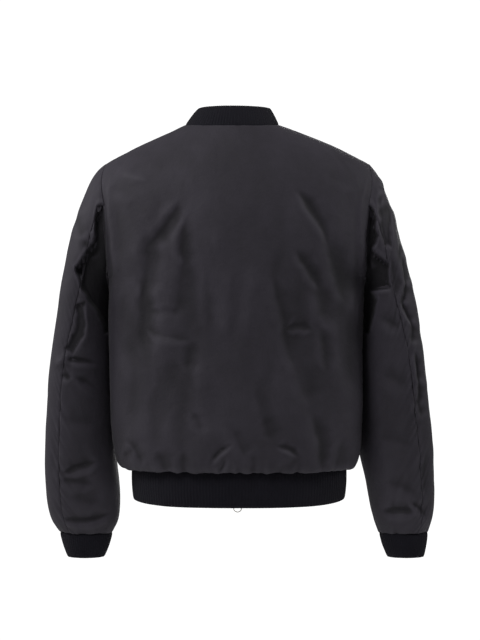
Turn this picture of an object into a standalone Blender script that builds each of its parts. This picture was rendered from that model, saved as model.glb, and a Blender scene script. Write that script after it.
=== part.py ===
"""A zipped bomber jacket with rib-knit collar, hem band and cuffs, filled out as if worn.

The jacket stands upright in its own frame: +Z is up, the front faces -Y and +X is the
wearer's left. The origin is at the height of the neck point, between the shoulders.
Tables are in millimetres, and angles are in degrees.
"""

import math

import bmesh
import bpy
import numpy as np

MM = 0.001

# Cloth and seams
WALL = 2.0
SEAM_GAP = 0.3
RIB_RAISE = 0.8

# Heights of the main lines
NECK_Z = 0.0
SHOULDER_TIP_Z = -67.0
ARMPIT_Z = -270.0
HEM_SEAM_Z = -597.0

# Neck opening
NECK_HALF_WIDTH = 81.0
NECK_BACK_DIP = 8.0
NECK_FRONT_DROP = 75.0

# Zip, measured across the centre front
FRONT_EDGE_X = 8.0
CHAIN_HALF_WIDTH = 3.2
TAPE_OUTER_X = 16.5
TAPE_RECESS = WALL + 0.7
TAPE_THICKNESS = 1.0
CHAIN_RECESS = 1.5
CHAIN_THICKNESS = 2.6
COLLAR_END_X = 1.0

# Grid of a body panel: columns from the centre to the side seam, and rows
CHEST_COLUMN_TURN = 66.0
CHEST_LEVEL = 0.45
NECK_SPREAD = 30.0
NECK_COLUMNS = 6
SHOULDER_COLUMNS = 9
ARMHOLE_ROWS = 12

# Rib knit
POINTS_PER_RIB = 2
HEM_RIBS_PER_STEP = 3
COLLAR_RIBS_PER_STEP = 4
CUFF_RIBS_PER_STEP = 2
CUFF_STEPS = 30

# Armhole: an oval seen from the side
ARMHOLE_CENTRE_Y = 2.0
ARMHOLE_HALF_DEPTH = 62.0
ARMHOLE_CENTRE_Z = (SHOULDER_TIP_Z + ARMPIT_Z) / 2
ARMHOLE_HALF_HEIGHT = (SHOULDER_TIP_Z - ARMPIT_Z) / 2


def columns(names, rows):
    """A table as a dictionary of arrays, one for each named column."""
    values = np.array(rows, float)
    return {name: values[:, i] for i, name in enumerate(names.split())}


# The slope of the shoulders: how far the crest lies from the middle at each height.
SHOULDER = columns(
    "z half_width",
    [
        (-74.0, 239.0),
        (-67.0, 227.0),
        (-54.0, 203.0),
        (-40.0, 175.5),
        (-26.0, 144.0),
        (-12.0, 110.0),
        (0.0, NECK_HALF_WIDTH),
        (14.0, 46.0),
    ],
)

# Level sections of the body, from the armpits up. The middle of the neck leans to the left.
CHEST = columns(
    "z centre_x back front roundness armhole_x",
    [
        (-270.0, 2.0, 127.5, 136.0, 2.30, 221.0),
        (-230.0, 2.0, 128.5, 135.5, 2.28, 220.5),
        (-190.0, 2.0, 127.0, 128.0, 2.22, 220.0),
        (-140.0, 1.5, 122.0, 111.5, 2.08, 224.5),
        (-100.0, 1.0, 114.5, 94.0, 1.92, 230.5),
        (-67.0, 0.5, 105.0, 79.0, 1.80, 227.0),
        (-40.0, 1.0, 94.0, 68.5, 1.76, 227.0),
        (-26.0, 2.5, 86.0, 63.0, 1.76, 227.0),
        (-12.0, 6.0, 76.5, 57.5, 1.80, 227.0),
        (0.0, 9.5, 67.0, 52.0, 1.90, 227.0),
        (14.0, 9.5, 55.0, 45.0, 1.90, 227.0),
    ],
)

# Level sections of the body, from the hem seam up. drop is how far the cloth sags over the rib.
BODY = columns(
    "z centre_x half_width back front roundness drop",
    [
        (-597.0, -3.0, 185.5, 114.0, 118.0, 2.20, 0.0),
        (-590.0, -1.5, 197.0, 121.5, 121.5, 2.22, 12.0),
        (-581.0, 0.0, 205.5, 127.0, 125.5, 2.25, 11.0),
        (-566.0, 0.5, 211.5, 129.5, 129.0, 2.28, 5.0),
        (-545.0, 1.0, 215.0, 129.5, 131.0, 2.30, 1.0),
        (-510.0, 1.5, 217.0, 127.5, 132.0, 2.30, 0.0),
        (-470.0, 1.5, 218.0, 125.5, 131.5, 2.30, 0.0),
        (-425.0, 2.0, 219.0, 124.0, 131.5, 2.30, 0.0),
        (-380.0, 2.0, 219.5, 123.5, 132.5, 2.30, 0.0),
        (-340.0, 2.0, 220.0, 124.5, 134.0, 2.30, 0.0),
        (-303.0, 2.0, 220.5, 126.0, 135.5, 2.30, 0.0),
        (-270.0, 2.0, 221.0, 127.5, 136.0, 2.30, 0.0),
    ],
)
FRONT_HEM_DROP = 14.0
BLOUSE_START_X = 60.0
LEAN_START_X = 70.0
GATHER_DEPTH = 2.2
GATHER_WAVES = 7.5

# Outlines of the sleeves seen from the back: distance from the middle at each height.
SLEEVE_OUTER = columns(
    "z left right",
    [
        (-716.0, 307.0, 332.0),
        (-706.0, 312.0, 333.0),
        (-692.0, 321.5, 338.0),
        (-676.0, 327.5, 341.5),
        (-655.0, 331.5, 343.0),
        (-620.0, 334.0, 342.5),
        (-540.0, 332.5, 338.0),
        (-480.0, 329.5, 331.0),
        (-427.0, 325.5, 325.5),
        (-372.0, 318.5, 318.5),
        (-317.0, 310.0, 310.0),
        (-275.0, 304.5, 301.5),
        (-233.0, 295.8, 292.5),
        (-206.0, 290.6, 285.5),
        (-178.0, 283.7, 277.5),
        (-150.0, 275.0, 270.0),
        (-123.0, 264.7, 259.5),
        (-109.0, 259.0, 254.0),
        (-95.0, 252.0, 247.4),
        (-81.0, 243.0, 239.0),
        (-67.0, 227.3, 227.3),
    ],
)
SLEEVE_INNER = columns(
    "z left right",
    [
        (-716.0, 221.0, 250.0),
        (-706.0, 217.0, 246.0),
        (-692.0, 210.0, 240.5),
        (-664.0, 206.0, 233.0),
        (-634.0, 206.5, 227.5),
        (-600.0, 210.0, 221.0),
        (-570.0, 215.0, 217.0),
        (-540.0, 218.5, 215.0),
        (-480.0, 220.0, 215.0),
        (-380.0, 221.5, 216.5),
        (-340.0, 222.5, 218.0),
        (-310.0, 225.0, 221.0),
        (-290.0, 226.5, 223.0),
        (-280.0, 226.0, 223.5),
        (-270.0, 221.3, 221.3),
    ],
)

# Rings of a sleeve from the armhole to the cuff seam. Each runs from a point on the outer
# outline to one on the inner outline. elbow is the elbow seam's angle from the outer outline.
SLEEVE_RINGS = columns(
    "outer_z outer_y inner_z inner_y half_depth elbow",
    [
        (-67.0, 2.0, -270.0, 2.0, 62.0, 75.0),
        (-77.0, 2.0, -276.0, 0.0, 65.0, 75.0),
        (-93.0, 3.0, -283.0, -6.0, 67.5, 75.0),
        (-114.0, 4.0, -291.0, -14.0, 69.5, 75.0),
        (-140.0, 5.0, -300.0, -22.0, 70.5, 76.0),
        (-170.0, 6.0, -311.0, -29.0, 71.0, 77.0),
        (-204.0, 7.0, -325.0, -35.0, 71.0, 78.0),
        (-242.0, 8.0, -343.0, -40.0, 70.5, 77.0),
        (-282.0, 9.0, -365.0, -43.0, 70.0, 73.0),
        (-324.0, 9.0, -391.0, -45.0, 69.0, 68.0),
        (-368.0, 8.0, -422.0, -46.0, 67.0, 63.0),
        (-412.0, 6.0, -455.0, -46.0, 65.0, 60.0),
        (-457.0, 3.0, -491.0, -46.0, 62.5, 58.0),
        (-502.0, -1.0, -528.0, -46.0, 60.0, 57.0),
        (-546.0, -6.0, -565.0, -45.0, 58.0, 56.0),
        (-588.0, -12.0, -602.0, -44.0, 55.5, 56.0),
        (-626.0, -18.0, -635.0, -43.0, 53.0, 56.0),
        (-657.0, -24.0, -663.0, -41.0, 50.0, 56.0),
        (-681.0, -29.0, -685.0, -39.0, 45.5, 56.0),
        (-697.0, -32.0, -699.0, -37.0, 39.0, 57.0),
        (-708.0, -34.0, -709.0, -36.0, 33.0, 58.0),
    ],
)
FOREARM_SEAM_ANGLE = -105.0
SLEEVE_HALF_COLUMNS = 12
SLEEVE_INNER_ROUNDNESS = 2.1
SETTLED_RING = 6
ARMHOLE_SHAPED_RINGS = 4

# Cuffs: the lower edge of each, and how far the knit swells between its edges
CUFF_LOW_Z = -751.0
CUFF_LOW = {"left": (267.0, -38.0), "right": (296.0, -38.0)}
CUFF_LOW_HALF_WIDTH = 32.0
CUFF_LOW_HALF_DEPTH = 26.0
CUFF_SWELL = 1.5

# Hem band
HEM_LOW_Z = -651.0
HEM_SIDE_LIFT = 6.0
HEM_LOW_SCALE = 0.985
HEM_INSET = 1.3
HEM_SWELL = 1.5

# Collar: its upper edge
COLLAR_TOP_Z = 29.0
COLLAR_TOP_CENTRE_X = 3.0
COLLAR_TOP_HALF_WIDTH = 61.0
COLLAR_TOP_BACK = 48.0
COLLAR_TOP_FRONT = 60.0
COLLAR_FRONT_HEIGHT = 37.0
COLLAR_SWELL = 3.0

# Sliders and their rings
ZIP_BELOW_HEM = 8.0
SLIDER_LENGTH = 11.0
SLIDER_HALF_WIDTH = 4.2
SLIDER_PLATE = 1.3
SLIDER_CORNER = 0.5
SLIDER_BACK_INSET = (0.6, 1.0)
SLIDER_POST_HALF_WIDTH = 1.4
SLIDER_POST_START = -1.5
SLIDER_POST_LENGTH = 3.0
BRIDGE_LENGTH = 6.6
BRIDGE_HALF_WIDTH = 1.0
BRIDGE_METAL = 0.9
BRIDGE_SPACE = 2.6
RING_OUTER_RADIUS = 7.9
RING_WIRE_RADIUS = 0.85
RING_PLAY = 0.45
RING_STEPS = 22
WIRE_STEPS = 6
TOP_SLIDER_BELOW_NECK = 13.0
BOTTOM_SLIDER_Z = -667.0

# Soft troughs in the back: both ends, half-width and depth
BACK_FOLDS = columns(
    "x1 z1 x2 z2 width depth",
    [
        (100.0, -152.0, 146.0, -208.0, 13.0, 3.2),
        (160.0, -215.0, 163.0, -385.0, 15.0, 3.0),
        (-106.0, -125.0, -156.0, -211.0, 13.0, 3.4),
        (-156.0, -211.0, -181.0, -292.0, 13.0, 3.0),
        (-84.0, -218.0, -134.0, -270.0, 13.0, 2.2),
        (-62.0, -272.0, -82.0, -340.0, 14.0, 2.0),
        (-136.0, -500.0, -132.0, -590.0, 13.0, 2.4),
        (14.0, -545.0, 4.0, -592.0, 12.0, 2.2),
        (172.0, -530.0, 140.0, -592.0, 13.0, 2.4),
    ],
)

# Soft troughs in the fronts. x is counted from the middle, on both sides.
FRONT_FOLDS = columns(
    "x1 z1 x2 z2 width depth",
    [
        (190.0, -190.0, 120.0, -262.0, 14.0, 3.0),
        (150.0, -320.0, 142.0, -450.0, 15.0, 2.4),
        (70.0, -505.0, 82.0, -600.0, 13.0, 2.2),
        (160.0, -520.0, 150.0, -590.0, 13.0, 2.4),
    ],
)

# Soft troughs in a sleeve: how far along it (0 to 1), angle from the outer outline,
# half-length in degrees, half-width along it and depth
SLEEVE_FOLDS = columns(
    "along angle reach width depth",
    [
        (0.24, 130.0, 55.0, 0.030, 3.2),
        (0.35, 45.0, 50.0, 0.030, 2.6),
        (0.47, -30.0, 60.0, 0.030, 2.4),
        (0.58, 60.0, 70.0, 0.028, 2.8),
        (0.70, -120.0, 60.0, 0.028, 2.4),
        (0.82, 60.0, 70.0, 0.026, 2.6),
    ],
)


def smooth(where, table, column, key="z"):
    """A column of a table between its rows, on a curve with no corners."""
    places, values = table[key], table[column]
    slopes = np.gradient(values, places)
    i = np.clip(np.searchsorted(places, where) - 1, 0, len(places) - 2)
    step = places[i + 1] - places[i]
    t = np.clip((where - places[i]) / step, 0.0, 1.0)
    return (
        (1 + 2 * t) * (1 - t) ** 2 * values[i]
        + t * (1 - t) ** 2 * step * slopes[i]
        + t * t * (3 - 2 * t) * values[i + 1]
        + t * t * (t - 1) * step * slopes[i + 1]
    )


def ease(t):
    """From 0 to 1 with no jump in slope at either end."""
    t = np.clip(t, 0.0, 1.0)
    return t * t * (3 - 2 * t)


def unit(vectors):
    return vectors / np.linalg.norm(vectors, axis=-1, keepdims=True)


def trough(x, z, folds):
    """How deep the folds are at (x, z): each is a soft line with fading ends."""
    depth = np.zeros_like(x)
    for x1, z1, x2, z2, width, fold in zip(*folds.values()):
        length = math.hypot(x2 - x1, z2 - z1)
        along = ((x - x1) * (x2 - x1) + (z - z1) * (z2 - z1)) / length
        across = ((x - x1) * (z2 - z1) - (z - z1) * (x2 - x1)) / length
        fade = ease(along / width) * ease((length - along) / width)
        depth += fold * fade * np.exp(-((across / width) ** 2))
    return depth


def armhole_edge(angle, side):
    """A point of the armhole. The angle is 0 at its top, 90 at the back."""
    turn = np.radians(angle)
    y = ARMHOLE_CENTRE_Y * np.abs(np.sin(turn)) + ARMHOLE_HALF_DEPTH * np.sin(turn)
    z = ARMHOLE_CENTRE_Z + ARMHOLE_HALF_HEIGHT * np.cos(turn)
    x = smooth(z, CHEST, "centre_x") + side * smooth(z, CHEST, "armhole_x")
    return np.stack([x, y, z], axis=-1)


def armhole_depth(z, facing):
    """How far the armhole lies from the middle plane of the body at a height."""
    level = np.clip((z - ARMHOLE_CENTRE_Z) / ARMHOLE_HALF_HEIGHT, -1.0, 1.0)
    rise = np.sqrt(1.0 - level**2)
    return (ARMHOLE_HALF_DEPTH + facing * ARMHOLE_CENTRE_Y) * rise


def chest_section(z, facing):
    """Half-width, depth and roundness of a level section of the body above the armpits.

    The section ends at the shoulder's crest or, under the shoulder's tip, passes through
    the edge of the armhole.
    """
    depth = smooth(z, CHEST, "back" if facing > 0 else "front")
    power = smooth(z, CHEST, "roundness")
    edge = np.clip(armhole_depth(z, facing) / depth, 0.0, 0.98) ** power
    through_armhole = smooth(z, CHEST, "armhole_x") / (1.0 - edge) ** (1.0 / power)
    crest = smooth(z, SHOULDER, "half_width")
    return np.where(z > SHOULDER_TIP_Z, crest, through_armhole), depth, power


def lean(x, z, facing):
    """How far a point at a distance from the middle is moved to the left, as the body leans."""
    shift = smooth(z, CHEST, "centre_x")
    return shift if facing > 0 else shift * ease(x / LEAN_START_X)


def chest_depth(x, z, facing):
    """Distance of the cloth from the middle plane, at a distance x from the middle."""
    half_width, depth, power = chest_section(z, facing)
    across = np.clip(x / half_width, 0.0, 1.0)
    return depth * (1.0 - across**power) ** (1.0 / power)


def chest_height(x, y, facing):
    """Height of the cloth over a place seen from above, found by halving."""
    low = np.full_like(x, ARMPIT_Z)
    high = np.full_like(x, SHOULDER["z"][-1])
    for _ in range(40):
        z = (low + high) / 2
        half_width, depth, power = chest_section(z, facing)
        inside = (x / half_width) ** power + (y / depth) ** power < 1.0
        low = np.where(inside, z, low)
        high = np.where(inside, high, z)
    return z


def chest_normals(x, y, z, facing, side):
    """Directions straight out of the body, above the armpits. y is counted outwards."""
    step = 1.0
    half_width, depth, power = chest_section(z, facing)

    def level(z_near):
        width_near, depth_near, power_near = chest_section(z_near, facing)
        return (x / width_near) ** power_near + (y / depth_near) ** power_near

    slope = (level(z + step) - level(z - step)) / (2 * step)
    out_x = power * x ** (power - 1) / half_width**power
    out_y = power * y ** (power - 1) / depth**power
    return unit(np.stack([side * out_x, facing * out_y, slope], axis=-1))


def top_edge(facing, start_x):
    """Distance from the middle and height along the neck seam, then the shoulder seam.

    Steps are even along the cloth on each of the two seams.
    """
    drop = NECK_BACK_DIP if facing > 0 else NECK_FRONT_DROP
    turn = np.linspace(math.acos(start_x / NECK_HALF_WIDTH), 0.0, 200)
    x = NECK_HALF_WIDTH * np.cos(turn)
    z = NECK_Z - drop * np.sin(turn)
    y = chest_depth(x, z, facing)
    step = np.sqrt(np.diff(x) ** 2 + np.diff(y) ** 2 + np.diff(z) ** 2)
    length = np.concatenate([[0.0], np.cumsum(step)])
    even = np.linspace(0.0, length[-1], NECK_COLUMNS + 1)
    neck_x, neck_z = np.interp(even, length, x), np.interp(even, length, z)
    step = np.linspace(0.0, 1.0, SHOULDER_COLUMNS + 1)[1:]
    crest_z = NECK_Z + (SHOULDER_TIP_Z - NECK_Z) * step
    crest_x = smooth(crest_z, SHOULDER, "half_width")
    return np.concatenate([neck_x, crest_x]), np.concatenate([neck_z, crest_z])


def oval_fractions(width, depth, power, start, count):
    """Angles that step evenly along a quarter of a rounded oval, from start to its side."""
    turn = np.linspace(0.0, math.pi / 2, 400)
    x = width * np.sin(turn) ** (2 / power)
    y = depth * np.cos(turn) ** (2 / power)
    length = np.concatenate([[0.0], np.cumsum(np.hypot(np.diff(x), np.diff(y)))])
    first = np.interp(start, x, length)
    return np.interp(np.linspace(first, length[-1], count + 1), length, turn)


def half_panel(facing, side):
    """Half of a body panel: points and the directions straight out of the cloth there.

    Rows run from the hem up, and columns from the centre to the side.

    facing is 1 for the back and -1 for a front, and side is 1 for the wearer's left.
    """
    start_x = 0.0 if facing > 0 else FRONT_EDGE_X
    depth_name = "back" if facing > 0 else "front"
    count = NECK_COLUMNS + SHOULDER_COLUMNS
    rows = []
    for i in range(len(BODY["z"])):
        width, power = BODY["half_width"][i], BODY["roundness"][i]
        depth = BODY[depth_name][i]
        turn = oval_fractions(width, depth, power, start_x, count)
        x = width * np.sin(turn) ** (2 / power)
        y = depth * np.abs(np.cos(turn)) ** (2 / power)
        y[-1] = 0.0
        z = np.full(count + 1, BODY["z"][i])
        if facing < 0:
            sag = ease((ARMPIT_Z - z) / (ARMPIT_Z - HEM_SEAM_Z))
            z -= FRONT_HEM_DROP * sag * (y / depth) ** 2
            bloused = ease((x - FRONT_EDGE_X) / BLOUSE_START_X)
        else:
            bloused = 1.0
        z -= BODY["drop"][i] * bloused
        across = np.linspace(0.0, 1.0, count + 1)
        gathered = BODY["drop"][i] / BODY["drop"].max()
        wave = np.sin(across * GATHER_WAVES * math.tau + 1.3 * side) * bloused
        z -= GATHER_DEPTH * gathered * wave * ease((1 - across) * 8)
        leaning = BODY["centre_x"][i] * (1.0 if facing > 0 else ease(x / LEAN_START_X))
        rows.append(np.stack([leaning + side * x, facing * y, z], axis=-1))

    top_x, top_z = top_edge(facing, start_x)
    across = np.linspace(0.0, 1.0, count + 1)
    chest_turn = np.radians(CHEST_COLUMN_TURN)
    fraction_low = x / x[-1]
    fraction_chest = np.sin(chest_turn * across) / np.sin(chest_turn)
    if facing < 0:
        fraction_chest += (1 - across) * FRONT_EDGE_X / top_x[-1]
    fraction_top = top_x / top_x[-1]
    near_armhole = ease((across - 0.55) / 0.45)
    near_neck = ease(1 - np.abs(np.arange(count + 1) / NECK_COLUMNS - 1))
    outwards = []
    for i in range(1, ARMHOLE_ROWS + 1):
        t = i / ARMHOLE_ROWS
        even = math.sin(t * math.pi / 2)
        oval = (1 - math.cos(t * math.pi)) / 2
        rise = even + (oval - even) * near_armhole
        z = ARMPIT_Z + (top_z - ARMPIT_Z) * rise
        if i < ARMHOLE_ROWS:
            fraction = fraction_low + (fraction_chest - fraction_low) * ease(t / CHEST_LEVEL)
            to_top = max(t - CHEST_LEVEL, 0.0) / (1 - CHEST_LEVEL)
            gather = ease(to_top)
            fraction += (fraction_top - fraction) * gather
            x = fraction * smooth(z, CHEST, "armhole_x")
            y = chest_depth(x, z, facing)
            spread = NECK_SPREAD * near_neck * (gather - to_top**3)
            x += spread
            z = np.where(spread > 0, chest_height(x, y, facing), z)
        else:
            x = top_x
            y = chest_depth(x, z, facing)
            y[NECK_COLUMNS:] = 0.0
        row = np.stack([lean(x, z, facing) + side * x, facing * y, z], axis=-1)
        row[-1] = armhole_edge(180.0 * (1 - t) * facing, side)
        rows.append(row)
        outwards.append(chest_normals(x, y, z, facing, side))
    points = np.array(rows)
    middle = points * [0.0, 0.0, 1.0]
    normals = grid_normals(points, middle)
    normals[len(BODY["z"]) :] = outwards
    return points, normals


def grid_normals(points, outwards, wrap=False):
    """Unit normals of a grid. outwards is a point grid inside the shape to face away from."""
    if wrap:
        across = np.roll(points, -1, axis=1) - np.roll(points, 1, axis=1)
    else:
        across = np.gradient(points, axis=1)
    along = np.gradient(points, axis=0)
    normals = unit(np.cross(across, along))
    facing = np.sign(np.sum(normals * (points - outwards), axis=-1, keepdims=True))
    return normals * np.where(np.median(facing) < 0, -1.0, 1.0)


def panel_walls(points, normals, facing, sides):
    """Outer and inner grids of a body panel, with its edges parted from its neighbours.

    sides tells what each outermost column is: 0 for a zip edge, otherwise a side seam
    that ends in an armhole.
    """
    outer, normals = points.copy(), normals.copy()
    folds = BACK_FOLDS if facing > 0 else FRONT_FOLDS
    x = points[..., 0] if facing > 0 else np.abs(points[..., 0])
    free = np.ones(points.shape[:2])
    free[[0, -1], :] = 0.0
    free[:, list(sides)] = 0.0
    outer -= normals * (trough(x, points[..., 2], folds) * free)[..., None]
    body_rows = len(BODY["z"])
    armhole_angles = facing * np.linspace(180.0, 0.0, ARMHOLE_ROWS + 1)
    for column, side in sides.items():
        if side == 0:
            normals[:, column, 0] = 0.0
            continue
        normals[:body_rows, column, 1] = 0.0
        normals[body_rows - 1 :, column] = armhole_rim(armhole_angles)
        on_seam = np.abs(points[:, column, 1]) < 1e-6
        outer[on_seam, column, 1] = facing * SEAM_GAP / 2
    crest = np.abs(points[-1, :, 1]) < 1e-6
    normals[-1, crest, 1] = 0.0
    outer[-1, crest, 1] = facing * SEAM_GAP / 2
    normals = unit(normals)
    return outer, outer - WALL * normals


def armhole_rim(angle):
    """Directions away from the armhole's middle, at angles counted as in armhole_edge."""
    turn = np.radians(angle)
    y = np.sin(turn) / ARMHOLE_HALF_DEPTH
    z = np.cos(turn) / ARMHOLE_HALF_HEIGHT
    return unit(np.stack([np.zeros_like(y), y, z], axis=-1))


def cells(grid, wrap):
    """The four corners of each cell of a grid, going round it."""
    if wrap:
        grid = np.concatenate([grid, grid[:, :1]], axis=1)
    return grid[:-1, :-1], grid[:-1, 1:], grid[1:, 1:], grid[1:, :-1]


def triangles(ids, points, wrap):
    """Two triangles for each cell of a grid of vertex numbers, cut the short way across."""
    a, b, c, d = cells(ids, wrap)
    spot_a, spot_b, spot_c, spot_d = cells(points, wrap)
    one_way = np.linalg.norm(spot_a - spot_c, axis=-1)
    other_way = np.linalg.norm(spot_b - spot_d, axis=-1)
    first = (one_way < other_way + 1e-6)[..., None]
    upper = np.where(first, np.stack([a, b, c], axis=-1), np.stack([a, b, d], axis=-1))
    lower = np.where(first, np.stack([a, c, d], axis=-1), np.stack([b, c, d], axis=-1))
    return [tuple(f) for f in np.concatenate([upper, lower]).reshape(-1, 3)]


def rim(outer, inner):
    """Triangles between two edges, where the outer one may have more points."""
    per_step = (len(outer) - 1) // (len(inner) - 1)
    faces = []
    for j in range(len(inner) - 1):
        first = j * per_step
        half = first + (per_step + 1) // 2
        last = first + per_step
        faces += [(outer[k], outer[k + 1], inner[j]) for k in range(first, half)]
        faces += [(outer[k], outer[k + 1], inner[j + 1]) for k in range(half, last)]
        faces.append((inner[j], outer[half], inner[j + 1]))
    return faces


def solid(name, outer, inner, material, wrap=False):
    """A closed wall between an outer and an inner grid, made into a named object."""
    outer_ids = np.arange(outer.shape[0] * outer.shape[1]).reshape(outer.shape[:2])
    inner_ids = outer_ids.size + np.arange(inner.shape[0] * inner.shape[1])
    inner_ids = inner_ids.reshape(inner.shape[:2])
    inner_cut = outer if outer.shape == inner.shape else inner
    faces = triangles(outer_ids, outer, wrap) + triangles(inner_ids, inner_cut, wrap)
    for row in (0, -1):
        outer_edge, inner_edge = outer_ids[row], inner_ids[row]
        if wrap:
            outer_edge = np.append(outer_edge, outer_edge[0])
            inner_edge = np.append(inner_edge, inner_edge[0])
        faces += rim(outer_edge, inner_edge)
    if not wrap:
        for column in (0, -1):
            faces += rim(outer_ids[:, column], inner_ids[:, column])
    points = np.concatenate([outer.reshape(-1, 3), inner.reshape(-1, 3)])
    return add_object(name, points, faces, material)


def add_object(name, points, faces, material):
    """A named object from points in millimetres, with its faces turned outwards."""
    mesh = bpy.data.meshes.new(name)
    mesh.from_pydata((points * MM).tolist(), [], [[int(i) for i in f] for f in faces])
    work = bmesh.new()
    work.from_mesh(mesh)
    bmesh.ops.recalc_face_normals(work, faces=work.faces)
    if work.calc_volume(signed=True) < 0:
        bmesh.ops.reverse_faces(work, faces=work.faces)
    work.to_mesh(mesh)
    work.free()
    mesh.shade_smooth()
    mesh.set_sharp_from_angle(angle=math.radians(35))
    mesh.materials.append(material)
    thing = bpy.data.objects.new(name, mesh)
    bpy.context.collection.objects.link(thing)
    return thing


def make_material(name, colour, roughness, metallic=0.0):
    material = bpy.data.materials.new(name)
    material.use_nodes = True
    shader = material.node_tree.nodes["Principled BSDF"]
    shader.inputs["Base Color"].default_value = (*colour, 1.0)
    shader.inputs["Roughness"].default_value = roughness
    shader.inputs["Metallic"].default_value = metallic
    return material


def sleeve_angles():
    """Angles from the outer outline, for each ring of a sleeve and each point round it."""
    elbow = SLEEVE_RINGS["elbow"][:, None]
    column = np.arange(2 * SLEEVE_HALF_COLUMNS) / SLEEVE_HALF_COLUMNS
    upper = FOREARM_SEAM_ANGLE + (elbow - FOREARM_SEAM_ANGLE) * column
    under = elbow + (FOREARM_SEAM_ANGLE + 360 - elbow) * (column - 1)
    return np.where(column < 1, upper, under)


def sleeve_grid(side):
    """Points around a sleeve, ring by ring from the armhole, and the rings' centres."""
    side_name = "left" if side > 0 else "right"
    ends = []
    for end, outline in (("outer", SLEEVE_OUTER), ("inner", SLEEVE_INNER)):
        z = SLEEVE_RINGS[end + "_z"]
        x = smooth(z, outline, side_name)
        ends.append(np.stack([x, SLEEVE_RINGS[end + "_y"], z], axis=-1)[:, None])
    centre, reach = (ends[0] + ends[1]) / 2, (ends[0] - ends[1]) / 2

    angle = sleeve_angles()
    turn = np.radians(angle)
    ring = np.arange(len(angle))[:, None]
    rounder = (SLEEVE_INNER_ROUNDNESS - 2) * ease(ring / SETTLED_RING)
    power = 2 + rounder * (np.cos(turn) < 0)
    c = np.sign(np.cos(turn)) * np.abs(np.cos(turn)) ** (2 / power)
    s = np.sign(np.sin(turn)) * np.abs(np.sin(turn)) ** (2 / power)
    grid = (centre + reach * c[..., None]) * [side, 1.0, 1.0]
    grid[..., 1] += SLEEVE_RINGS["half_depth"][:, None] * s

    armhole = armhole_edge(angle, side)
    edge_z = np.array([ARMPIT_Z, SHOULDER_TIP_Z])
    edge_x = smooth(edge_z, CHEST, "armhole_x") + SEAM_GAP
    straight = np.interp(armhole[..., 2], edge_z, edge_x)
    like_armhole = ease(1 - ring / ARMHOLE_SHAPED_RINGS)
    grid[..., 0] += like_armhole * (armhole[..., 0] - side * straight)
    grid[0] = armhole[0] + [side * SEAM_GAP, 0.0, 0.0]
    return grid, np.broadcast_to(centre * [side, 1.0, 1.0], grid.shape)


def sleeve_folds(grid, normals):
    """Moves a sleeve's points in along its folds."""
    along = np.linspace(0.0, 1.0, len(grid))[:, None]
    angle = sleeve_angles()
    depth = np.zeros(grid.shape[:2])
    for place, middle, reach, width, fold in zip(*SLEEVE_FOLDS.values()):
        away = (angle - middle + 180) % 360 - 180
        fade = ease(1 - np.abs(away) / reach)
        depth += fold * fade * np.exp(-(((along - place) / width) ** 2))
    clear_of_body = ease((np.abs(angle - 180) - 35) / 25)
    return grid - normals * (depth * clear_of_body)[..., None]


def make_sleeve(side, material):
    """Upper and under sleeve, parted along the elbow seam and the forearm seam."""
    name = "left" if side > 0 else "right"
    grid, middles = sleeve_grid(side)
    normals = grid_normals(grid, middles, wrap=True)
    outer = sleeve_folds(grid, normals)
    normals[0] = armhole_rim(sleeve_angles()[0])
    normals[-1, :, 2] = 0.0
    normals = unit(normals)
    inner = outer - WALL * normals
    around = np.roll(outer, -1, axis=1) - np.roll(outer, 1, axis=1)
    across_seam = unit(np.cross(normals, np.gradient(outer, axis=0)))
    across_seam *= np.sign(np.sum(across_seam * around, axis=-1, keepdims=True))
    half = SLEEVE_HALF_COLUMNS
    for piece, first in (("upper", 0), ("under", half)):
        pick = [(first + k) % (2 * half) for k in range(half + 1)]
        inset = np.zeros(half + 1)
        inset[0], inset[-1] = SEAM_GAP / 2, -SEAM_GAP / 2
        shift = across_seam[:, pick] * inset[None, :, None]
        solid(
            f"sleeve_{name}_{piece}",
            outer[:, pick] + shift,
            inner[:, pick] + shift,
            material,
        )
    return outer[-1]


def even_line(points, count):
    """Points at even steps along a line of straight stretches."""
    step = np.linalg.norm(np.diff(points, axis=0), axis=1)
    length = np.concatenate([[0.0], np.cumsum(step)])
    where = np.linspace(0.0, length[-1], count + 1)
    return np.stack([np.interp(where, length, points[:, i]) for i in range(3)], axis=-1)


def divided(line, parts):
    """A line with each of its straight stretches divided into equal parts."""
    t = np.arange(parts)[:, None] / parts
    inside = line[:-1, None] + (line[1:] - line[:-1])[:, None] * t
    return np.concatenate([inside.reshape(-1, 3), line[-1:]])


def rib_wall(name, lines, ribs_per_step, middle, material, wrap=False, seam_rim=None):
    """A rib-knit wall: plain inside, with its ribs raised in its outer points.

    lines holds the band's edge-to-edge rows, each a line of points along the band, and
    seam_rim the directions in which the last row's edge has its thickness.
    """
    parts = ribs_per_step * POINTS_PER_RIB
    stop = -1 if wrap else None
    base = np.array([divided(line, parts) for line in lines])[:, :stop]
    normals = grid_normals(base, np.broadcast_to(middle, base.shape), wrap)
    normals[[0, -1], :, 2] = 0.0
    if seam_rim is not None:
        normals[-1] = divided(seam_rim, parts)[:stop]
    normals = unit(normals)
    raised = np.zeros(base.shape[:2])
    raised[:, 1::2] = RIB_RAISE
    outer = base + normals * raised[..., None]
    inner = base[:, ::parts] - WALL * normals[:, ::parts]
    return solid(name, outer, inner, material, wrap)


def band_rows(top, low, swell, count, middle):
    """Rows from a band's low edge to its top edge, swelling outwards between them."""
    rows = []
    for t in np.linspace(0.0, 1.0, count + 1):
        row = low + (top - low) * t
        away = unit((row - middle) * [1.0, 1.0, 0.0])
        rows.append(row + away * swell * 4 * t * (1 - t))
    return rows


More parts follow.
